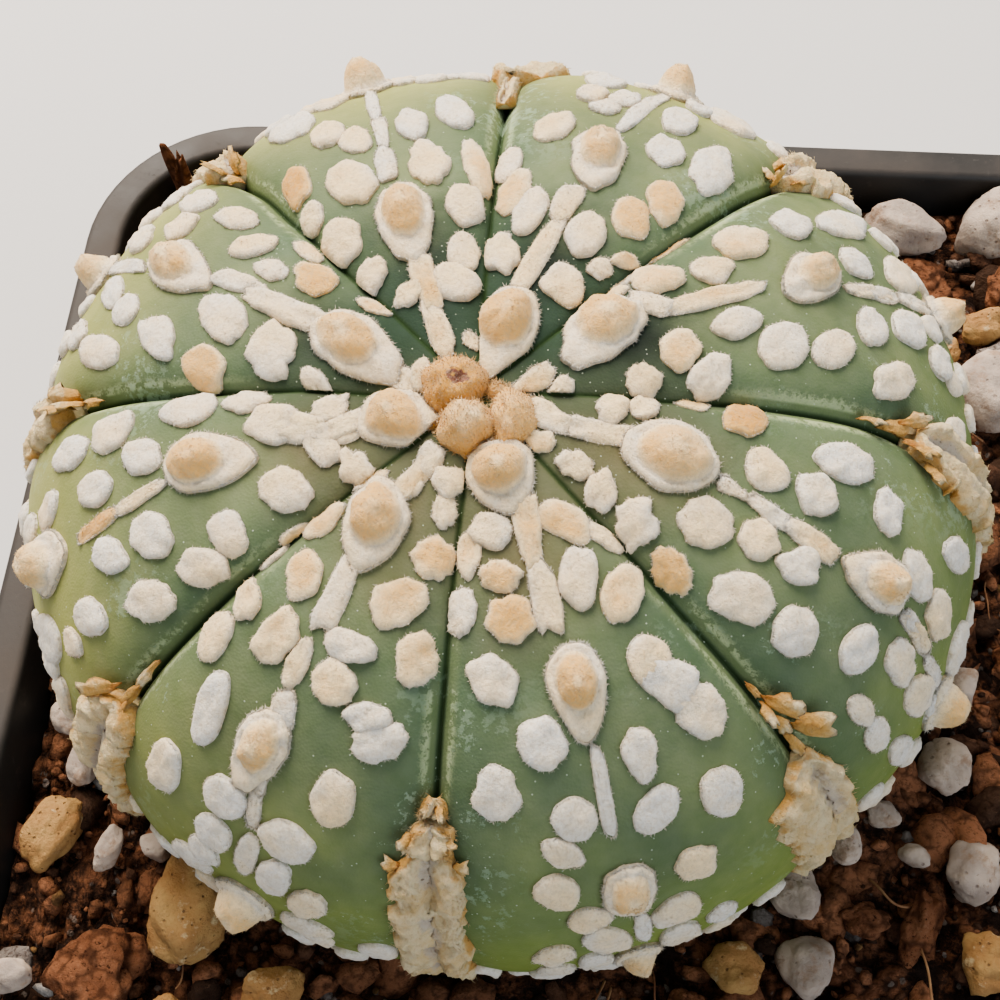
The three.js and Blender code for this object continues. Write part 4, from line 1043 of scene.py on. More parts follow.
def rib_felt(rib):
    """Shapes and tones of all the felt on a rib: four kinds of cushion, then their hairs."""
    kinds = [flat_tufts(rib, FLECKS[rib], 10 + rib), mounds(rib, AREOLES[rib], 30 + rib),
             flat_tufts(rib, trail_rows(TRAILS[rib]), 70 + rib, SQUARER, 36),
             flat_tufts(rib, lower_flecks(rib), 20 + rib, 2.0, 16)]
    shapes = [(made, tone) for made, tone, _ in kinds]
    for kind, (_, _, grown) in enumerate(kinds):
        seed = 100 * kind + rib
        shapes.append(fringe(grown, FRINGE_HAIRS[kind], FRINGE_LENGTHS[kind], seed))
        if NAP_HAIRS[kind]:
            shapes.append(nap(grown, NAP_HAIRS[kind], NAP_LENGTH, seed + 50))
    return shapes


for rib in RIBS:
    joined(f"felt_rib_{rib + 1}", rib_felt(rib), WOOL, "wool", "tone")

# %% [markdown]
# ## Crown
# The youngest areoles crowd together in the middle, where new felt is pushed up in rounded knobs
# of orange and tan wool. They stand too close to the crown for a rib's coordinates, so each is a
# dome on the flat top, set out in plain widthways and lengthways millimetres. The largest has a
# dimple, where the growing point lies.

# %% Crown wool
# Each knob: its place, width, length and height, its tone, and how deep its dimple is.
KNOBS = [
    (-1.15, 0.4, 3.9, 3.7, 2.2, 0.98, 0.45), (-0.4, -2.0, 3.2, 3.2, 2.3, 0.58, 0),
    (2.05, -1.4, 2.7, 3.8, 1.8, 0.62, 0), (1.1, 0.2, 1.8, 1.8, 0.9, 0.9, 0),
    (-2.4, -1.5, 1.6, 1.6, 0.8, 0.9, 0), (0.9, -3, 1.5, 1.3, 0.7, 0.85, 0),
]
KNOB_ROWS = 14
KNOB_COLUMNS = 36
KNOB_HAIRS = 1000  # on each knob
KNOB_FOOT = 1.5  # how far a knob goes on below the crown
CROWN_DROP = 0.55  # how far below the crown's height the knobs stand
DIMPLE_PLACE = (0.25, -0.1)  # from the middle of its knob
DIMPLE_SIZE = (0.55, 0.35)
DIMPLE_TONE = 0.9
FOOT_TONE = 0.6


def knob_rings(x, y, width, length, height, seed):
    """Rings of a dome, as high as the root of one minus their share squared, and how likely a
    hair is to grow on each. Two small waves go round it."""
    share = np.sin(np.linspace(0, np.pi / 2, KNOB_ROWS + 1)[1:])[:, None]
    around = once_round(KNOB_COLUMNS)
    wave = 1 + 0.04 * np.sin(3 * around + seed) + 0.03 * np.sin(5 * around + 2 * seed)
    rise = height * np.sqrt(np.clip(1 - share**2, 0, 1))
    rings = np.stack([x + share * wave * width / 2 * np.cos(around),
                      y + share * wave * length / 2 * np.sin(around), rise + 0 * around], -1)
    return np.concatenate([rings, rings[-1:] - [0, 0, KNOB_FOOT]]), share[:, 0] / share.sum()


def knob(x, y, width, length, height, tone, dimple, seed):
    """A dome of wool, made lumpy by a broad ripple and a finer one, with a bell curve for a
    dimple and hairs all over. It is warmest at its foot and in the dimple. Returns the shape and
    the tone of each point."""
    draw = np.random.default_rng(seed)
    rings, weight = knob_rings(x, y, width, length, height, seed)
    across = (rings[..., 0] - x - DIMPLE_PLACE[0]) / DIMPLE_SIZE[0]
    upwards = (rings[..., 1] - y - DIMPLE_PLACE[1]) / DIMPLE_SIZE[1]
    dent = (dimple > 0) * np.exp(-(across**2 + upwards**2))
    rings[..., 2] -= dimple * dent
    lumps = 0.10 * ripple(rings, 1.3, seed) + 0.05 * ripple(rings, 0.5, seed + 1)
    outward = unit(rings - [x, y, -0.4])
    rings = rings + lumps[..., None] * outward
    warm = tone + 0.10 * ripple(rings, 1.6, seed + 2)
    warm = warm + FOOT_TONE * (1 - rings[..., 2] / height).clip(0, 1)
    warm = warm + DIMPLE_TONE * (dent > 0.35)
    row = draw.choice(KNOB_ROWS, KNOB_HAIRS, p=weight)
    pick = row, draw.integers(0, KNOB_COLUMNS, KNOB_HAIRS)
    way = unit(outward[pick] + draw.normal(0, 0.35, (KNOB_HAIRS, 3)))
    base = np.array([0, -CROWN_FORWARD, BODY_RISE - CROWN_DROP])
    strands = leaning_hairs(rings[pick] + base, way, draw.uniform(0.12, 0.34, KNOB_HAIRS))
    top = rings[:1].mean(1) + [0, 0, 0.02]
    bottom = np.array([[x, y, -KNOB_FOOT]])
    dome = shells(lean(rings + base)[None], lean(top + base), lean(bottom + base))
    tones = [warm.ravel(), [tone, tone], np.repeat(warm[pick] - 0.1, 4)]
    return join(dome, strands), np.concatenate(tones)


knobs = [knob(*row, seed) for seed, row in enumerate(KNOBS)]
joined("crown_wool", knobs, WOOL, "wool", "tone")

# %% [markdown]
# ## Cork
# Low down on each furrow the skin has split as the plant swelled, and the scar has healed to cork:
# a long crusty wedge, cream and puffed up at its sides, pitted and grey along the middle, with a
# torn orange-brown edge. It is a slab that runs down the furrow and fills it.

# %% Cork shape
# Each patch: the furrow, where it starts and ends, its half width on either side, and its height.
PATCHES = [
    (0, 26, 44, 2.5, 1.5, 0.7), (1, 26.5, 43, 2.5, 1.2, 0.6), (2, 27.8, 42, 3.5, 1.6, 0.6),
    (2, 23.2, 29.4, 0.55, 0.5, 0.2), (3, 26.4, 43, 1.4, 1.7, 0.5), (4, 27.3, 43, 1.5, 2.3, 0.6),
    (5, 28.4, 44, 2.4, 2, 0.7), (6, 26.9, 44.5, 2.2, 1.7, 0.45), (6, 25, 27.1, 1.2, 1, 0.6),
    (6, 23.6, 24.8, 0.6, 0.6, 0.3), (7, 28.8, 41.5, 3.2, 1.4, 0.45),
]
CORK_STEP = 0.19
CORK_COLUMNS = 28  # over the top; eight more close the slab below
CORK_SHARES = np.concatenate([np.linspace(-1, 1, CORK_COLUMNS), np.linspace(0.8, -0.8, 8)])
CORK_DEPTH = 2.6
FURROW_LEFT = 0.3  # the share of a furrow's depth that is left under cork
SPREAD = 1.2  # the way over which one rib's normals turn into the next one's
GROOVE_WIDTH = 0.33
GROOVE_DEPTH = 0.35
EDGE_HAIRS = 260  # along the edge of each patch
EDGE_COLUMNS = [0, 1, 2, 3, *range(CORK_COLUMNS - 4, CORK_COLUMNS)]


def billow(points, size, seed):
    """Rounded lumps with sharp creases between them: a half, less the size of a ripple."""
    return 0.5 - np.abs(ripple(points, size, seed))


def cork_base(number, along, offset):
    """Points and normals of the skin at an offset from a furrow. On each side they are those of
    the rib there; near the furrow the normals of both ribs are mixed, so the slab doesn't fold."""
    sides = []
    for rib, sign in (((number - 1) % 8, 1), (number % 8, -1)):
        across = sign * half_width(along, rib) + offset
        sides.append(frame_at(rib, along, across, FURROW_LEFT))
    before, after = sides
    is_after = (offset > 0)[..., None]
    own = np.where(is_after, after[3], before[3])
    other = np.where(is_after, before[3], after[3])
    mixed = np.clip(np.abs(offset) / SPREAD, 0, 1)[..., None]
    out = unit(own * (0.5 + 0.5 * mixed) + other * (0.5 - 0.5 * mixed))
    return np.where(is_after, after[0], before[0]), out


def cork_hairs(rings, out, seed):
    """Torn fibres along both edges of a slab, and which of its points they grow on."""
    draw = np.random.default_rng(seed)
    pick = draw.integers(0, len(rings), EDGE_HAIRS), draw.choice(EDGE_COLUMNS, EDGE_HAIRS)
    edges = rings[:, [0, CORK_COLUMNS - 1]]
    sideways = unit(edges - edges[:, ::-1])
    right = (pick[1] >= CORK_COLUMNS // 2).astype(int)
    way = sideways[pick[0], right] + draw.normal(0, 0.45, (EDGE_HAIRS, 3))
    way = unit(way + 0.4 * out[pick])
    return leaning_hairs(rings[pick], way, draw.uniform(0.12, 0.36, EDGE_HAIRS)), pick


def cork(number, start, stop, left, right, high, seed):
    """A slab down a furrow. Its top is lumps over (1 - share^8)^0.5, less a band along the middle;
    it is full width a short way from its start, and waves along it make a torn edge. Its
    underside lies below the furrow. Returns the shape, closeness to the edge and depth in the
    middle band."""
    rows = np.linspace(0, 1, max(14, int((stop - start) / CORK_STEP)))[:, None]
    from_start = rows * (stop - start)
    along = start + from_start
    share = CORK_SHARES * np.ones_like(rows)
    above = (np.arange(share.shape[1]) < CORK_COLUMNS) * np.ones_like(rows)
    size = (left + right) / 2
    taper = np.clip(from_start / (0.8 * size), 0, 1) ** 0.6
    taper = taper * (1 - 0.5 * np.clip((from_start - stop + start) / size + 1, 0, 1) ** 2)
    # Where the waves along a scar are read, which is far apart for each scar.
    key = np.concatenate([along + 13 * seed, 0 * along, 0 * along], 1)[:, None, :]
    side_key = key + [0, 9, 0] * np.sign(share)[..., None]
    tear = 1 + 0.13 * ripple(side_key, 4, seed) + 0.10 * ripple(side_key, 1.4, seed + 1)
    tear = tear + 0.09 * ripple(side_key, 0.6, seed + 9)
    offset = share * np.where(share < 0, left, right) * (0.25 + 0.75 * taper) * tear
    along = along + 0.4 * np.abs(share) ** 2 * ripple(key + [0, 0, 7], 1.2, seed + 2)
    base, out = cork_base(number, along, offset)
    puff = 0.50 * billow(base, 2.4, seed + 3) + 0.24 * billow(base, 0.95, seed + 4)
    grain = 0.11 * billow(base, 0.5, seed + 5)
    wander = 0.3 * ripple(key, 4, seed + 6)
    groove = np.exp(-(((offset + wander) / (GROOVE_WIDTH * size)) ** 4))
    groove = groove * np.clip(0.75 + 0.6 * ripple(key, 5, seed + 7), 0, 1)
    rounded = (1 - np.clip(np.abs(share), 0, 1) ** 8) ** 0.5
    lift = high + 0.3 + puff * min(1, size / 1.5) * (1 - 0.6 * groove) - GROOVE_DEPTH * groove
    lift = -0.3 + lift * rounded + grain
    under = -CORK_DEPTH * (0.3 + 0.7 * taper) * min(1, size / 1.8)
    rings = base + np.where(above > 0, lift, under)[..., None] * out
    strands, pick = cork_hairs(rings, out, seed)
    first, last = rings[0].mean(0)[None], rings[-1].mean(0)[None]
    shape = join(shells(lean(rings)[None], lean(first), lean(last)), strands)
    rim = np.abs(share) ** 4 + 0.5 * np.exp(-from_start / 1.1)
    rim = np.clip(rim, 0, 1) - 0.25 * puff
    rim = np.concatenate([rim.ravel(), [1, 1], np.repeat(rim[pick] * 0.8, 4)])
    pit = np.concatenate([(groove * above).ravel(), np.zeros(2 + 4 * EDGE_HAIRS)])
    return shape, rim, pit


# %% [markdown]
# ## The colour of cork
# Cork is cream where it has healed, orange-brown where it tore, and grey in the band along the
# middle, with pinholes darkened by painted shade.

# %% Cork finish
def cork_finish():
    """Cork, dry and matt: orange-brown by the layer `rim`, grey and pitted by the layer `pit`."""
    paint = Paint("cork", Roughness=0.92, Specular_IOR_Level=0.2, Subsurface_Weight=0.12,
                  Subsurface_Scale=0.0008, Subsurface_Radius=(1.0, 0.6, 0.3))
    blot = paint.noise(1.8, 4, 0.65)
    tuft = paint.noise(0.7, 4, 0.7)
    fine = paint.noise(0.28, 5, 0.75)
    rim = paint.layer("rim") + (blot - 0.5) * 1.6 + (tuft - 0.5) * 0.5
    pit = paint.layer("pit") + (tuft - 0.5) * 0.8
    bark = paint.blend(blot.between(0.35, 0.7), (0.81, 0.67, 0.43), (0.76, 0.55, 0.28))
    bark = paint.blend(pit.between(0.35, 0.8) * 0.85, bark, (0.60, 0.52, 0.44))
    bark = paint.blend(rim.between(0.65, 1.15), bark, (0.66, 0.38, 0.13))
    bark = paint.blend(rim.between(1.15, 1.6), bark, (0.40, 0.17, 0.05))
    # Painted shade: pinholes in the grey band are blended nearly black.
    shaded_hole = (1 - paint.cells(0.5).between(0.12, 0.24)) * pit.between(0.5, 0.9)
    bark = paint.blend(shaded_hole * 0.85, bark, (0.12, 0.06, 0.04))
    bark = paint.blend((1 - fine.between(0.30, 0.5)) * 0.45, bark, (0.46, 0.31, 0.17))
    return paint.finish(bark, None, fine * 1.2 + tuft * 1.5 - shaded_hole, 0.25, 0.9)


CORK = cork_finish()
scars = [cork(*row, 80 + 10 * number) for number, row in enumerate(PATCHES)]
joined("cork_scars", scars, CORK, "cork_scar", "rim", "pit")

# %% [markdown]
# ## Flakes
# Where a scar begins, dry skin peels up in papery flakes, like small petals. Each is a thin
# cupped shell on a narrow base, placed one by one in a furrow and turned out of it.

# %% Papery flakes
# Furrow number, distance along it, offset from it, length, width, turn and upward tilt in degrees.
FLAKES = [
    (7, 22.4, 0, 1.2, 0.5, 5, 20), (7, 23.6, 0.3, 2.2, 1.6, 40, 25),
    (7, 23.8, -0.2, 1.6, 1.3, -35, 30), (7, 26, 0.6, 2.2, 2.1, 55, 25),
    (7, 26.4, 0, 2.4, 0.8, 5, 18), (7, 25.2, 0, 1.4, 0.9, 10, 30),
    (6, 23.6, -0.2, 1.2, 0.8, -60, 35), (6, 23.8, 0.3, 1.2, 0.8, 55, 35),
    (6, 25.6, -0.7, 1.4, 1.2, -60, 30), (6, 25.6, 0.6, 1.2, 1.1, 60, 30),
    (6, 27.7, -1.6, 0.9, 1.2, -80, 15), (6, 27.5, 1.2, 0.9, 1.1, 80, 15),
    (5, 24.2, 0, 2.8, 0.8, 0, 12), (5, 26.4, -0.1, 2.8, 1, -8, 18),
    (5, 27.6, 0.3, 2.4, 1.2, 15, 25), (5, 27.4, -0.8, 2.4, 1.3, -45, 30),
    (4, 24.2, 0, 2, 0.9, 0, 20), (4, 25.4, 0.3, 2.6, 1.4, 18, 28),
    (4, 25.8, -0.5, 2.6, 1.5, -14, 30), (4, 26.8, 0.4, 2.2, 1.5, 50, 40),
    (3, 25.2, 0, 2, 1.1, 25, 35), (3, 26, -0.3, 2, 1.2, -50, 40), (3, 26.4, 0.6, 2, 1.2, 60, 40),
    (2, 24.6, 0.1, 2, 0.6, 0, 12), (2, 26.8, -0.2, 2.2, 0.8, -10, 18),
    (1, 25.2, 0.1, 1.7, 0.8, 75, 55), (1, 25.8, -0.3, 1.6, 0.8, 60, 55),
    (1, 26.2, -0.9, 2.4, 0.9, -15, 18),
    (0, 21.9, -0.1, 1.8, 0.9, -12, 22), (0, 23.4, 0, 2.6, 1.3, 8, 26),
    (0, 24.8, -0.7, 2.2, 1.4, -30, 30), (0, 24.6, 0.5, 2, 1.1, 30, 32),
    (0, 26.2, -1.6, 1.8, 1.2, -55, 30),
]
FLAKE_COLUMNS = 20
FLAKE_LEVELS = np.array([0.4, 0.75, 1.0, 0.75, 0.4])[:, None]  # out over the top and back below
FLAKE_SIDES = np.array([1, 1, 0, -1, -1])[:, None]
FLAKE_HALF_THICK = 0.04
FLAKE_DIP = 0.6  # the share of a furrow's depth that is left under a flake
FLAKE_RAISED = 0.25
SIDE_CURL = 0.30
TIP_CURL = 0.25
FLAKE_BROWN = 1.5  # the rim layer's value at a flake's foot
TIP_PALER = 0.7


def flake(number, along, offset, length, width, turn, rise, seed):
    """A petal: it widens from its foot as the root of its length, curls up at its sides with the
    square of the distance from its middle line, and has a lobed edge. Returns it, how brown each
    of its points is, which falls from its foot to its tip, and noughts, for it has no pits."""
    rib = number % 8 if offset >= 0 else (number - 1) % 8
    sign = -1 if offset >= 0 else 1
    half = half_width(np.array(along), rib)
    point, down, side, out = frame_at(rib, np.array(along), sign * half + offset, FLAKE_DIP)
    turn, rise = math.radians(turn), math.radians(rise)
    way = down * math.cos(turn) + side * math.sin(turn)
    cross = np.cross(out, way)
    ahead = way * math.cos(rise) + out * math.sin(rise)
    upward = np.cross(ahead, cross)
    around = once_round(FLAKE_COLUMNS)
    edge = 1 + 0.13 * np.sin(5 * around + seed) + 0.10 * np.sin(8 * around + 2.3 * seed)
    reach = 0.5 - 0.5 * FLAKE_LEVELS * edge * np.cos(around)
    wide = FLAKE_LEVELS * edge * np.sin(around) * (0.35 + 0.65 * np.sqrt(np.clip(reach, 0, 1)))
    curl = SIDE_CURL * width * wide**2 + TIP_CURL * length * reach**2
    curl = curl + 0.06 * np.sin(9 * wide + seed)
    base = point + FLAKE_RAISED * out
    rings = (base + (reach * length)[..., None] * ahead + (wide * width / 2)[..., None] * cross
             + (curl + FLAKE_SIDES * FLAKE_HALF_THICK)[..., None] * -upward)
    middle = base + 0.5 * length * ahead - 0.06 * length * upward
    top, bottom = ((middle - side_of * FLAKE_HALF_THICK * upward)[None] for side_of in (1, -1))
    brown = FLAKE_BROWN - TIP_PALER * np.clip(reach + 0.2 * np.abs(wide), 0, 1) + 0 * around
    brown = np.concatenate([brown.ravel(), brown.mean() * np.ones(2)])
    return shells(lean(rings)[None], lean(top), lean(bottom)), brown, 0 * brown


flakes = [flake(*row, seed) for seed, row in enumerate(FLAKES)]
joined("papery_flakes", flakes, CORK, "cork_scar", "rim", "pit")

# %% [markdown]
# ## Pot
# The pot is one black moulding with a band round its rim and a ring to stand on. Its shape is a
# rounded square whose width and corner radius change with height. So one square is laid out
# once, by corner signs and outward ways, and every row of the pot is that square resized.

# %% Pot outline
RIM_WIDTH = 3.0
RIM_DEPTH = 9.0
RIM_CORNER = 13.0
RIM_DRAFT = 0.15  # the band is this much narrower below, so that it leaves its mould
WALL = 1.2
FOOT_HALF = 33.5
FOOT_CORNER = 9.0
FOOT_WIDTH = 1.6
FOOT_HEIGHT = 3.0
EDGE = 0.6  # the radius of every rounded edge
CHAMFER = 0.3
FLOOR_CHAMFER = 0.4
FLOOR_TOP = FOOT_HEIGHT + WALL
CORNER_STEPS = 14
SIDE_STEPS = 10
WALL_ROWS = 8


def round_square():
    """Where each column of a rounded square stands: a corner sign and an outward direction, so
    that a point is (half - corner) times the sign plus corner times the direction."""
    arc = np.linspace(0, np.pi / 2, CORNER_STEPS + 1)
    signs, ways = [], []
    for quarter in range(4):
        angle = arc + quarter * np.pi / 2
        middle = angle[CORNER_STEPS // 2]
        corner = np.sign([math.cos(middle), math.sin(middle)])
        signs.append(np.tile(corner, (len(arc), 1)))
        ways.append(np.stack([np.cos(angle), np.sin(angle)], -1))
        following = np.array([-corner[1], corner[0]])
        share = np.linspace(0, 1, SIDE_STEPS + 1)[1:-1, None]
        signs.append(corner + (following - corner) * share)
        ways.append(np.tile(ways[-1][-1], (SIDE_STEPS - 1, 1)))
    return np.concatenate(signs), np.concatenate(ways)


SQUARE_SIGNS, SQUARE_WAYS = round_square()


def inner_wall(height):
    """Half width and corner radius of the tapered inner face at a height."""
    rise = (height - FLOOR_TOP) / (POT_HEIGHT - FLOOR_TOP)
    half = FOOT_HALF - WALL + rise * (RIM_HALF - RIM_WIDTH - FOOT_HALF + WALL)
    return half, FOOT_CORNER - WALL + rise * (RIM_CORNER - RIM_WIDTH - FOOT_CORNER + WALL)


def bend(half, corner, height, start, stop):
    """A rounded edge of the pot's section: an arc of four steps round (half, height)."""
    turns = np.radians(np.linspace(start, stop, 5))
    out, up = EDGE * np.cos(turns), EDGE * np.sin(turns)
    return list(zip(half + out, corner + out, height + up))


def loft(profile):
    """Rings of the rounded square from rows of half width, corner radius and height."""
    half, corner, height = np.array(profile)[:, :, None, None].transpose(1, 0, 2, 3)
    flat = (half - corner) * SQUARE_SIGNS + corner * SQUARE_WAYS
    return np.concatenate([flat, height * np.ones((*flat.shape[:2], 1))], -1)


# %% [markdown]
# ## The pot's section
# The section goes from the floor inside up the inner wall, over the rim and its band, and down
# the outer wall to the foot. Each row is a half width, a corner radius and a height.

# %% Pot section
band_bottom = POT_HEIGHT - RIM_DEPTH
under_half, under_corner = inner_wall(band_bottom)
inner_half, inner_corner = inner_wall(POT_HEIGHT)
floor_half, floor_corner = FOOT_HALF - WALL, FOOT_CORNER - WALL
ring_half, ring_corner = FOOT_HALF - FOOT_WIDTH, FOOT_CORNER - FOOT_WIDTH
inner_heights = np.linspace(12, POT_HEIGHT - 2 * EDGE, WALL_ROWS)
outer_heights = np.linspace(band_bottom - 4, 6, WALL_ROWS)
pot_profile = [
    (floor_half - 6, floor_corner - 3, FLOOR_TOP),
    (floor_half - FLOOR_CHAMFER, floor_corner - FLOOR_CHAMFER, FLOOR_TOP),
    (*inner_wall(FLOOR_TOP + FLOOR_CHAMFER), FLOOR_TOP + FLOOR_CHAMFER),
    *((*inner_wall(height), height) for height in inner_heights),
    *bend(inner_half + EDGE, inner_corner + EDGE, POT_HEIGHT - EDGE, 180, 90),
    *bend(RIM_HALF - EDGE, RIM_CORNER - EDGE, POT_HEIGHT - EDGE, 90, 0),
    (RIM_HALF, RIM_CORNER, POT_HEIGHT - 3 * EDGE),
    (RIM_HALF - RIM_DRAFT, RIM_CORNER, band_bottom + 3 * EDGE),
    *bend(RIM_HALF - RIM_DRAFT - EDGE, RIM_CORNER - EDGE, band_bottom + EDGE, 0, -90),
    *bend(under_half + WALL + EDGE, under_corner + WALL + EDGE, band_bottom - EDGE, 90, 180),
    *((*(size + WALL for size in inner_wall(height)), height) for height in outer_heights),
    (FOOT_HALF, FOOT_CORNER, 3 * EDGE),
    *bend(FOOT_HALF - EDGE, FOOT_CORNER - EDGE, EDGE, 0, -90),
    (ring_half, ring_corner, 0),
    (ring_half, ring_corner, FOOT_HEIGHT - CHAMFER),
    (ring_half - CHAMFER, ring_corner - CHAMFER, FOOT_HEIGHT),
]
pot_rings = loft(pot_profile)
print("the pot's section has", len(pot_rings), "rows of", pot_rings.shape[1])

# %% [markdown]
# ## Black plastic
# The plastic has a satin shine, but dust from the soil lies on the rim and dried splashes cling
# to the walls.

# %% Plastic finish
def pot_finish():
    """Black satin plastic with a dusty grey-brown bloom that gathers on the rim, wiped thin in
    places, dried splashes and fine scratches."""
    paint = Paint("black_plastic", Specular_IOR_Level=0.45)
    up = paint.part(paint.node("ShaderNodeNewGeometry", output="Normal"), "Z")
    height = paint.part(paint.place, "Z")
    cloud = paint.noise(14, 5, 0.6)
    fine = paint.noise(0.5, 4, 0.7)
    dust = up.between(0.15, 0.95) * height.between(0.07, 0.076) * cloud.between(0.2, 0.75)
    splash = paint.noise(4, 5, 0.65).between(0.60, 0.72) * height.between(0.045, 0.08) * 0.25
    plastic = paint.blend(cloud, (0.011, 0.011, 0.011), (0.020, 0.019, 0.018))
    plastic = paint.blend(dust * 0.9, plastic, (0.082, 0.066, 0.056))
    plastic = paint.blend(splash * fine.between(0.4, 0.6), plastic, (0.14, 0.11, 0.09))
    scratch = paint.noise(1.2, 6, 0.8).between(0.62, 0.66)
    plastic = paint.blend(scratch * 0.2, plastic, (0.12, 0.11, 0.10))
    gloss = 0.42 + cloud * 0.16 + dust * 0.3 + scratch * 0.1
    return paint.finish(plastic, gloss, fine * 0.6 + cloud * 2 + scratch * 0.3, 0.05, 0.5)


floor_middle = pot_rings[:1].mean((1, 0))[None] * [0, 0, 1]
pot_made = shells(pot_rings[None], floor_middle, np.array([[0, 0, FOOT_HEIGHT]]))
pot = piece("nursery_pot", pot_made, pot_finish(), ["pot"])

# %% [markdown]
# ## Drain holes
# Water leaves through five holes in the floor and four gaps in the ring. They are simple shapes,
# so they are cut out of the finished wall by Boolean modifiers, which are then applied.

# %% Cutting the pot
NOTCH_WIDTH = 12.0
DRAIN_RADIUS = 4.0
DRAIN_SPACING = 17.0
DRAINS = [(0, 0), (-1, -1), (-1, 1), (1, -1), (1, 1)]
BELOW = -2  # where every cutter starts
SHARP = math.radians(40)


def rod(x, y, radius_x, radius_y, low, high, columns):
    """A straight cutter from low to high: an ellipse of columns points, closed at both ends."""
    around = (np.arange(columns) + 0.5) * 2 * np.pi / columns
    ring = np.stack([x + radius_x * np.cos(around), y + radius_y * np.sin(around)], -1)
    rings = np.stack([np.column_stack([ring, np.full(columns, z)]) for z in (high, low)])
    return shells(rings[None], np.array([[x, y, high]]), np.array([[x, y, low]]))


def cut(target, shape):
    """Cuts a shape out of a piece with a Boolean modifier and keeps the result as its mesh."""
    mesh = bpy.data.meshes.new("cutter")
    points, faces = shape
    rows = [tuple(row) for part in faces for row in part.tolist()]
    mesh.from_pydata((points * MM).tolist(), [], rows)
    cutter = put_in("cutter", mesh)
    modifier = target.modifiers.new("cut", "BOOLEAN")
    modifier.operation = "DIFFERENCE"
    modifier.solver = "EXACT"
    modifier.object = cutter
    bpy.context.view_layer.update()
    done = target.evaluated_get(bpy.context.evaluated_depsgraph_get())
    result = bpy.data.meshes.new_from_object(done)
    target.modifiers.clear()
    target.data = result
    bpy.data.objects.remove(cutter)


cut(pot, join(*(rod(x * DRAIN_SPACING, y * DRAIN_SPACING, DRAIN_RADIUS, DRAIN_RADIUS, BELOW, 9, 32)
                for x, y in DRAINS)))
# An ellipse of four columns is a bar, root two narrower than the ellipse.
wide, narrow = (half * math.sqrt(2) for half in (2 * FOOT_HALF, NOTCH_WIDTH / 2))
cut(pot, rod(0, 0, narrow, wide, BELOW, FOOT_HEIGHT - WALL, 4))
cut(pot, rod(0, 0, wide, narrow, BELOW, FOOT_HEIGHT - WALL, 4))
pot.data.set_sharp_from_angle(angle=SHARP)
print("pot faces after cutting:", len(pot.data.polygons))

# %% [markdown]
# ## Soil
# The mix is coir, peat and grit. Its body is one closed skin: from the hollow round the root, up
# under the plant, out over the open surface to the wall and down to the floor. The open surface
# is nearly black and uneven, because what shows between the crumbs is shade.

# %% Soil shape
SOIL_COLUMNS = 352
OPEN_ROWS = 58
CLEAR = 0.5  # between the soil and the plant, and the soil and the pot
CONTACT_ANGLE = math.radians(122)  # where the body leaves the soil, as an angle from the crown
MEAN_DROP = 0.9  # how far the bare soil lies below SOIL_LEVEL, the top of its litter
WAVE_HEIGHT, WAVE_SIZE = 0.45, 17
LUMP_HEIGHT, LUMP_SIZE = 0.22, 3.5
SIDE_HEIGHTS = (SOIL_LEVEL - 6, 50, 25, FLOOR_TOP + CLEAR)


def soil_height(x, y):
    """The soil's level with long low waves and shorter lumps."""
    place = np.stack([x, y, 0 * x], -1)
    waves = SOIL_LEVEL - MEAN_DROP + WAVE_HEIGHT * ripple(place, WAVE_SIZE, 91)
    return waves + LUMP_HEIGHT * ripple(place, LUMP_SIZE, 92)


def wall_point(azimuth, height):
    """Where a ray from the plant's axis meets the pot's inner face, found on the square's own
    outline by interpolating over the direction in which each of its points is seen."""
    half, corner = inner_wall(height)
    square = (half - CLEAR - corner) * SQUARE_SIGNS + corner * SQUARE_WAYS - PLANT[:2]
    seen = np.unwrap(np.arctan2(square[:, 1], square[:, 0]))
    distance = np.hypot(square[:, 0], square[:, 1])
    seen = np.concatenate([seen - 2 * np.pi, seen, seen + 2 * np.pi])
    reach = np.interp(azimuth, seen, np.tile(distance, 3))
    return PLANT[:2] + reach[:, None] * np.stack([np.cos(azimuth), np.sin(azimuth)], -1)


def open_surface(inner, outer):
    """Rows from the plant to the wall at the soil's level, broken by crumbly lumps that are the
    size of a ripple, with its sign left out. Close to the plant they meet the soil under it."""
    share = np.linspace(0, 1, OPEN_ROWS + 1)[1:, None, None]
    flat = inner[:, :2] * (1 - share) + outer * share
    share = share[..., 0]
    level = soil_height(flat[..., 0], flat[..., 1])
    place = np.concatenate([flat, 0 * level[..., None]], -1)
    lumps = np.abs(ripple(place, 1.7, 93)) * 0.9 + 0.3 * ripple(place, 0.8, 94)
    level = level - lumps * np.clip(4 * share, 0, 1)
    soft = np.clip(share * 5, 0, 1)
    level = level * soft + inner[None, :, 2] * (1 - soft)
    return np.concatenate([flat, level[..., None]], -1)


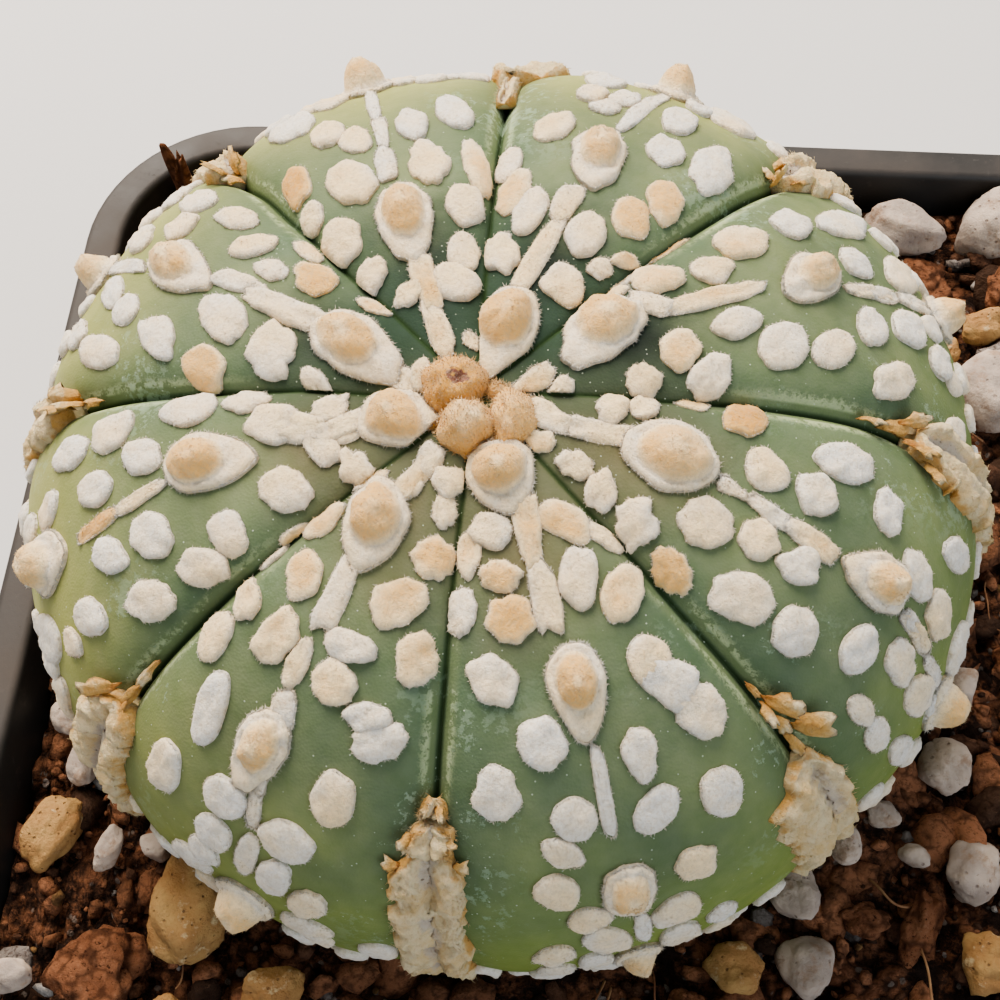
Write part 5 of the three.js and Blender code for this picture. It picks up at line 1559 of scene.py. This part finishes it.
def soil_shape():
    """Rows round the plant's axis: root hollow, under the body, open surface, wall and floor."""
    azimuth = once_round(SOIL_COLUMNS)
    circle = np.stack([np.cos(azimuth), np.sin(azimuth), 0 * azimuth], -1)
    collar, collar_height = outline(np.array(UNDER_END))
    hollow, under = [], []
    for depth in np.linspace(0.9, 0.05, 7):
        radius = collar * (1 - depth) ** ROOT_TAPER + CLEAR + ROOT_FULLER
        hollow.append(lean(circle * radius + [0, 0, collar_height - ROOT_LENGTH * depth - 1]))
    for angle in np.linspace(UNDER_END, CONTACT_ANGLE, 10):
        radius, height = outline(angle)
        under.append(lean(circle * (radius + CLEAR) + [0, 0, height - CLEAR]))
    surface = open_surface(under[-1], wall_point(azimuth, SOIL_LEVEL))
    sides = [np.column_stack([wall_point(azimuth, height), np.full(SOIL_COLUMNS, height)])
             for height in SIDE_HEIGHTS]
    rings = np.concatenate([np.stack(hollow + under), surface, np.stack(sides)])
    top = hollow[0].mean(0)[None] - [0, 0, 0.3]
    return shells(rings[None], top, np.array([[*PLANT[:2], FLOOR_TOP + CLEAR]]))


soil_made = soil_shape()
print("soil of", len(soil_made[0]), "points")

# %% [markdown]
# ## The colour of the soil
# It is nearly black: partly wet peat, and partly painted shade from between the crumbs, darkest in
# the gaps of a cell pattern. Lighter coir dust lies on its high spots.

# %% Soil finish
def soil_finish():
    """Peat darkened nearly black by painted shade, with rust-brown coir dust and a few pale grains.
    """
    paint = Paint("soil_mix", Roughness=0.95, Specular_IOR_Level=0.2)
    blot = paint.noise(3, 5, 0.7)
    fine = paint.noise(0.5, 4, 0.75)
    grain = paint.cells(0.9)
    # Painted shade: the bed is blended between near-black and rust, and the gaps between cells are
    # made nearly black.
    earth = paint.blend(blot.between(0.42, 0.56), (0.030, 0.016, 0.011), (0.28, 0.125, 0.068))
    earth = paint.blend(grain.between(0.35, 0.75) * 0.85, earth, (0.018, 0.009, 0.006))
    dust = fine.between(0.5, 0.66) * blot.between(0.35, 0.55)
    earth = paint.blend(dust, earth, (0.20, 0.085, 0.042))
    grit = 1 - paint.cells(1.4).between(0.13, 0.2)
    earth = paint.blend(grit * 0.6, earth, (0.32, 0.27, 0.23))
    return paint.finish(earth, None, fine * 0.8 + blot * 0.9 - grain * 0.8, 0.9, 1.0)


piece("soil_bed", soil_made, soil_finish(), ["soil"])

# %% [markdown]
# ## Stones
# The loose stones are pumice, baked clay granules and chips of bark. A broken stone is flat in
# places and round in others, which is what is left when a ball is cut by a few planes at random
# depths and its edges are worn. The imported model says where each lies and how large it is: the
# main directions of its points give its turn, and its reach along them gives its size.

# %% Worn stone shapes
BOX_WAYS = np.concatenate([np.eye(3), -np.eye(3)])
CUT_DEPTHS = (0.78, 1.05)  # of the random planes, as shares of a stone's half size


def directions(rows, columns):
    """Unit vectors on a globe of rows and columns, and its two poles."""
    polar = np.linspace(0, np.pi, rows + 2)[1:-1, None]
    around = once_round(columns)
    ring = np.stack([np.sin(polar) * np.cos(around), np.sin(polar) * np.sin(around),
                     np.cos(polar) + 0 * around], -1)
    return np.concatenate([ring.reshape(-1, 3), [[0, 0, 1], [0, 0, -1]]])


def worn(ways, planes, depths, sharpness):
    """Reach of a worn stone in each direction: one over the p-norm of how far the direction goes
    towards each plane, in shares of the plane's depth. A high p leaves sharp edges."""
    towards = np.clip(np.einsum("nd,cpd->cpn", ways, planes) / depths[..., None], 1e-6, None)
    return 1 / (towards**sharpness).sum(1) ** (1 / sharpness)


def stones(rows, columns, centres, axes, sizes, seed, planes, sharpness, rough):
    """Worn stones at centres, turned by the rows of axes, and sizes long, wide and high. Each is
    cut by random planes and by the six of its box, and roughened by two ripples."""
    draw = np.random.default_rng(seed)
    count = len(centres)
    ways = directions(rows, columns)
    normals = unit(draw.normal(size=(count, planes, 3)))
    depths = draw.uniform(*CUT_DEPTHS, (count, planes))
    normals = np.concatenate([normals, np.tile(BOX_WAYS, (count, 1, 1))], 1)
    depths = np.concatenate([depths, np.full((count, 6), 1.0)], 1)
    reach = worn(ways, normals, depths, sharpness)
    read_at = ways + draw.uniform(-50, 50, (count, 1, 3))
    bumps = 1 + rough * ripple(read_at, 1.1, seed) + 0.5 * rough * ripple(read_at, 0.45, seed)
    reach = reach * bumps
    local = ways * reach[..., None] * sizes[:, None] / 2
    points = np.einsum("cnk,ckd->cnd", local, axes) + centres[:, None]
    rings = points[:, :-2].reshape(count, rows, columns, 3)
    return shells(rings, points[:, -2], points[:, -1])


def lie_of(node):
    """Centre, main directions and sizes of a packed stone, from the spread of its points."""
    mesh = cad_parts[node].data
    points = np.empty(len(mesh.vertices) * 3, np.float32)
    mesh.vertices.foreach_get("co", points)
    points = points.reshape(-1, 3) / MM
    centre = (points.max(0) + points.min(0)) / 2
    _, _, axes = np.linalg.svd(points - points.mean(0), full_matrices=False)
    if np.linalg.det(axes) < 0:
        axes = -axes
    reach = np.abs((points - centre) @ axes.T).max(0) * 2
    return centre, axes, reach


# %% [markdown]
# ## The colours of the stones
# Pumice is a foam of pale glass, so light goes some way into it. Baked clay and bark are dry
# and rough. In all three, painted shade darkens the pores, holes and cracks.

# %% Stone finishes
def pumice_finish():
    """Pale grey-beige volcanic glass foam: slightly see-through, pitted with tiny holes, stained
    brown by the soil, and darkened by painted shade in its holes and cracks."""
    paint = Paint("pumice", Roughness=0.75, Specular_IOR_Level=0.35, Subsurface_Weight=0.3,
                  Subsurface_Scale=0.0015, Subsurface_Radius=(1.0, 0.85, 0.75))
    cloud = paint.noise(3.5, 4, 0.6)
    fine = paint.noise(0.5, 5, 0.7)
    stone = paint.blend(cloud.between(0.3, 0.7), (0.33, 0.27, 0.23), (0.56, 0.455, 0.37))
    stain = paint.noise(1.8, 5, 0.7).between(0.5, 0.66)
    stone = paint.blend(stain * 0.7, stone, (0.30, 0.19, 0.12))
    # Painted shade: the holes are blended dark.
    shaded_hole = 1 - paint.cells(0.75).between(0.10, 0.2)
    shaded_hole = shaded_hole * paint.noise(2.2, 2).between(0.45, 0.6)
    stone = paint.blend(shaded_hole * 0.6, stone, (0.17, 0.12, 0.10))
    # Painted shade: the lowest spots of the fine grain, its cracks, are blended nearly black.
    dark = (1 - fine.between(0.30, 0.36)) * 0.6
    stone = paint.blend(dark, stone, (0.12, 0.08, 0.06))
    return paint.finish(stone, None, fine * 1.2 + cloud - shaded_hole * 1.4, 0.22, 0.8)


def clay_finish():
    """Ochre baked clay: dry, crumbly, darker where it is damp, with pores and low spots darkened by
    painted shade.
    """
    paint = Paint("baked_clay", Roughness=0.92, Specular_IOR_Level=0.2)
    cloud = paint.noise(2.6, 5, 0.65)
    fine = paint.noise(0.45, 5, 0.75)
    clay = paint.blend(cloud.between(0.3, 0.65), (0.52, 0.33, 0.14), (0.40, 0.21, 0.085))
    clay = paint.blend(paint.noise(1.3, 4, 0.7).between(0.56, 0.7), clay, (0.62, 0.47, 0.27))
    # Painted shade: the pores and the low spots of the fine grain are blended dark brown.
    shaded_pore = 1 - paint.cells(0.6).between(0.08, 0.18)
    clay = paint.blend(shaded_pore * 0.5 + (1 - fine.between(0.32, 0.4)) * 0.5, clay, (0.11, 0.055, 0.03))
    return paint.finish(clay, None, fine * 1.3 + cloud * 1.5 - shaded_pore, 0.3, 0.9)


def bark_finish():
    """Rust-brown husk: crumbly fibres with cracks darkened by painted shade and lighter worn
    ridges.
    """
    paint = Paint("bark", Roughness=0.95, Specular_IOR_Level=0.15)
    cloud = paint.noise(1.7, 5, 0.7)
    fine = paint.noise(0.35, 5, 0.75)
    husk = paint.blend(cloud.between(0.35, 0.65), (0.28, 0.115, 0.058), (0.42, 0.19, 0.10))
    husk = paint.blend(fine.between(0.55, 0.7) * 0.6, husk, (0.50, 0.27, 0.16))
    # Painted shade: the cracks, which are the low spots of the fine grain, and the gaps between
    # cells are blended nearly black.
    husk = paint.blend(1 - fine.between(0.33, 0.45), husk, (0.06, 0.022, 0.012))
    grain = paint.cells(0.8)
    husk = paint.blend(grain.between(0.45, 0.8) * 0.7, husk, (0.07, 0.026, 0.014))
    return paint.finish(husk, None, fine * 1.1 + cloud - grain * 0.45, 0.8, 1.0)


# Each sort: its finish, its slot, how sharp its edges are and how rough its faces.
SORTS = {
    "pumice": (pumice_finish(), "pumice", 7, 0.07),
    "clay": (clay_finish(), "baked_clay", 6, 0.10),
    "bark": (bark_finish(), "bark", 5, 0.19),
}

# %% [markdown]
# ## Laying the stones
# Each packed stone gives way to a worn one in the same place, turned the same way. Wear has
# taken its corners off, so it is made a hair larger.

# %% Stones
STONE_ROWS = 26
STONE_COLUMNS = 36
STONE_PLANES = 14
STONE_LARGER = 1.02

for seed, node in enumerate(sorted(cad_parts)):
    sort = node.split("_")[0]
    if sort in SORTS:
        finish, slot, sharpness, rough = SORTS[sort]
        centre, axes, reach = lie_of(node)
        shape = stones(STONE_ROWS, STONE_COLUMNS, centre[None], axes[None],
                       reach[None] * STONE_LARGER, 300 + seed, STONE_PLANES, sharpness, rough)
        piece(f"{node}_stone", shape, finish, [node])

# %% [markdown]
# ## Crumbs
# Between the stones lies a litter of coir and peat crumbs, with grit and a few more granules. They
# are thousands of small worn stones of the same sort, each of a few dozen faces and with its own
# colour, dropped all over the open soil and clear of the plant.

# %% Crumb shapes
RUST, UMBER, PEAT = (0.42, 0.19, 0.10), (0.22, 0.11, 0.066), (0.10, 0.055, 0.035)
OCHRE, GRIT, QUARTZ = (0.40, 0.23, 0.10), (0.38, 0.33, 0.30), (0.60, 0.55, 0.50)
SOIL_COLOURS = [RUST, UMBER, PEAT, OCHRE, GRIT, QUARTZ]
# Count, smallest and largest size, rows, columns, seed, the share of each colour, and how far
# up and down the crumbs are scattered.
LITTER = {
    "coarse_crumbs": (600, 1.5, 4.2, 6, 9, 400, [0.66, 0.13, 0.04, 0.04, 0.10, 0.03], 0.6),
    "fine_crumbs": (2800, 0.4, 1.6, 3, 6, 410, [0.52, 0.18, 0.09, 0.05, 0.11, 0.05], 0.9),
}
LEAST_STRETCH, MOST_STRETCH = [0.9, 0.65, 0.5], [1.45, 1.0, 0.8]  # long, wide and high
MOSTLY_FLAT = [[1, 1, 0.6], [1, 1, 0.6], [0.4, 0.4, 1]]


def open_ground(count, seed):
    """Random places on the open soil, inside the rim and outside the plant's foot."""
    draw = np.random.default_rng(seed)
    place = draw.uniform(-1, 1, (count * 2, 2)) * (RIM_HALF - RIM_WIDTH - 1.2)
    off = place - PLANT[:2]
    radius, _ = outline(CONTACT_ANGLE)
    corner = np.maximum(np.abs(place) - (RIM_HALF - RIM_CORNER), 0)
    inside = np.hypot(corner[:, 0], corner[:, 1]) < RIM_CORNER - RIM_WIDTH - 1
    clear = np.hypot(off[:, 0], off[:, 1]) > radius + 0.6
    return place[inside & clear][:count]


def crumbs(count, low, high, rows, columns, seed, shares, scatter):
    """Crumbs between two sizes, small ones the most frequent, and a colour for each point."""
    draw = np.random.default_rng(seed)
    place = open_ground(count, seed + 1)
    count = len(place)
    size = low * (high / low) ** (draw.uniform(0, 1, count) ** 1.6)
    sizes = size[:, None] * draw.uniform(LEAST_STRETCH, MOST_STRETCH, (count, 3))
    axes = np.linalg.qr(draw.normal(size=(count, 3, 3)) * MOSTLY_FLAT)[0]
    level = soil_height(place[:, 0], place[:, 1]) - 0.5 + scatter * draw.uniform(-0.4, 1, count)
    centres = np.column_stack([place, level + size * 0.15])
    made = stones(rows, columns, centres, axes, sizes, seed + 2, 9, 5, 0.2)
    sort = draw.choice(len(SOIL_COLOURS), count, p=shares)
    colour = np.array(SOIL_COLOURS)[sort] * draw.uniform(0.6, 1.35, (count, 1))
    return made, np.repeat(colour, rows * columns + 2, axis=0)


litter = {name: crumbs(*row) for name, row in LITTER.items()}
print("points of crumbs", {name: len(made[0]) for name, (made, _) in litter.items()})

# %% [markdown]
# ## The colour of the crumbs
# Each crumb's colour is kept on its points, and one material adds the grain that all share.

# %% Crumb finish
def crumb_finish():
    """Each crumb's own colour, roughened with crumbly grain, with painted shade in its hollows and
    in the gaps between cells.
    """
    paint = Paint("soil_crumbs", Roughness=0.95, Specular_IOR_Level=0.2)
    fine = paint.noise(0.35, 5, 0.75)
    blot = paint.noise(1.1, 4, 0.7)
    own = paint.layer("colour", "Color")
    grain = paint.cells(0.7)
    # Painted shade: the hollows of the fine grain and the gaps between cells are blended dark.
    own = paint.blend((1 - fine.between(0.34, 0.5)) * 0.6, own, (0.085, 0.040, 0.023))
    own = paint.blend(grain.between(0.45, 0.85) * 0.6, own, (0.045, 0.020, 0.012))
    own = paint.blend(fine.between(0.58, 0.72) * 0.45, own, (0.38, 0.20, 0.12))
    return paint.finish(own, None, fine + blot - grain * 0.5, 0.7, 1.0)


CRUMB = crumb_finish()
for name, (made, colour) in litter.items():
    piece(name, made, CRUMB, layers={"colour": colour})

# %% [markdown]
# ## Fibres
# Coir leaves loose fibres on the soil, thin and springy. Each is a tube carried along a path that
# starts in a random direction and keeps curling the same way, so it lies in an arc over the crumbs.

# %% Fibres
FIBRES = 52
FIBRE_STEPS = 22
FIBRE_COLUMNS = 6
NEARLY_UP = [0.13, 0.21, 1.0]


def tubes(paths, radius):
    """Closed tubes along paths (n, steps, 3): circles square to the path, closed at both ends."""
    ahead = unit(np.gradient(paths, axis=1))
    side = unit(np.cross(ahead, NEARLY_UP))
    over = np.cross(side, ahead)
    around = once_round(FIBRE_COLUMNS)[:, None]
    circle = np.cos(around) * side[:, :, None] - np.sin(around) * over[:, :, None]
    rings = paths[:, :, None] + radius[:, None, None, None] * circle
    return shells(rings, paths[:, 0] - ahead[:, 0] * 0.05, paths[:, -1] + ahead[:, -1] * 0.05)


def coir(count, seed):
    """Paths of fibres: a heading that turns steadily, plus a little waver, at the soil's level."""
    draw = np.random.default_rng(seed)
    start = open_ground(count, seed + 1)
    count = len(start)
    share = np.linspace(0, 1, FIBRE_STEPS)
    heading = draw.uniform(0, 2 * np.pi, (count, 1)) + draw.normal(0, 1.6, (count, 1)) * share
    heading = heading + 0.25 * np.sin(share * draw.uniform(4, 12, (count, 1)))
    length = draw.uniform(3, 9, (count, 1, 1))
    stride = np.stack([np.cos(heading), np.sin(heading)], -1) * length / FIBRE_STEPS
    flat = start[:, None] + np.cumsum(stride, axis=1)
    limit = RIM_HALF - RIM_WIDTH - 1.5
    flat = np.clip(flat, -limit, limit)
    level = soil_height(flat[..., 0], flat[..., 1])
    arch = draw.uniform(0.2, 1.6, (count, 1)) * np.sin(np.pi * share)
    paths = np.concatenate([flat, (level + 0.35 + arch)[..., None]], -1)
    return paths, draw.uniform(0.05, 0.10, count)


def fibre_finish():
    """Red-brown coir fibre, paler where it is dry."""
    paint = Paint("coir_fibre", Roughness=0.7, Specular_IOR_Level=0.3)
    dry = paint.noise(2.5, 3).between(0.35, 0.65)
    husk = paint.blend(dry, (0.16, 0.065, 0.03), (0.42, 0.25, 0.13))
    return paint.finish(husk, None, paint.noise(0.2, 3), 0.05, 0.5)


piece("coir_fibres", tubes(*coir(FIBRES, 430)), fibre_finish())

# %% [markdown]
# ## Floor
# The pot stands on a plain pale floor, wide enough to reach past every view.

# %% Floor
FLOOR_REACH = 3.0
floor_paint = Paint("floor", Roughness=0.8)
shade = floor_paint.noise(60, 3)
floor_paint.finish(floor_paint.blend(shade * 0.3, (0.62, 0.61, 0.60), (0.55, 0.54, 0.53)))
floor_mesh = bpy.data.meshes.new("floor")
corners = [(-FLOOR_REACH, -FLOOR_REACH, 0), (FLOOR_REACH, -FLOOR_REACH, 0),
           (FLOOR_REACH, FLOOR_REACH, 0), (-FLOOR_REACH, FLOOR_REACH, 0)]
floor_mesh.from_pydata(corners, [], [(0, 1, 2, 3)])
floor_mesh.materials.append(floor_paint.material)
floor = put_in("floor", floor_mesh)
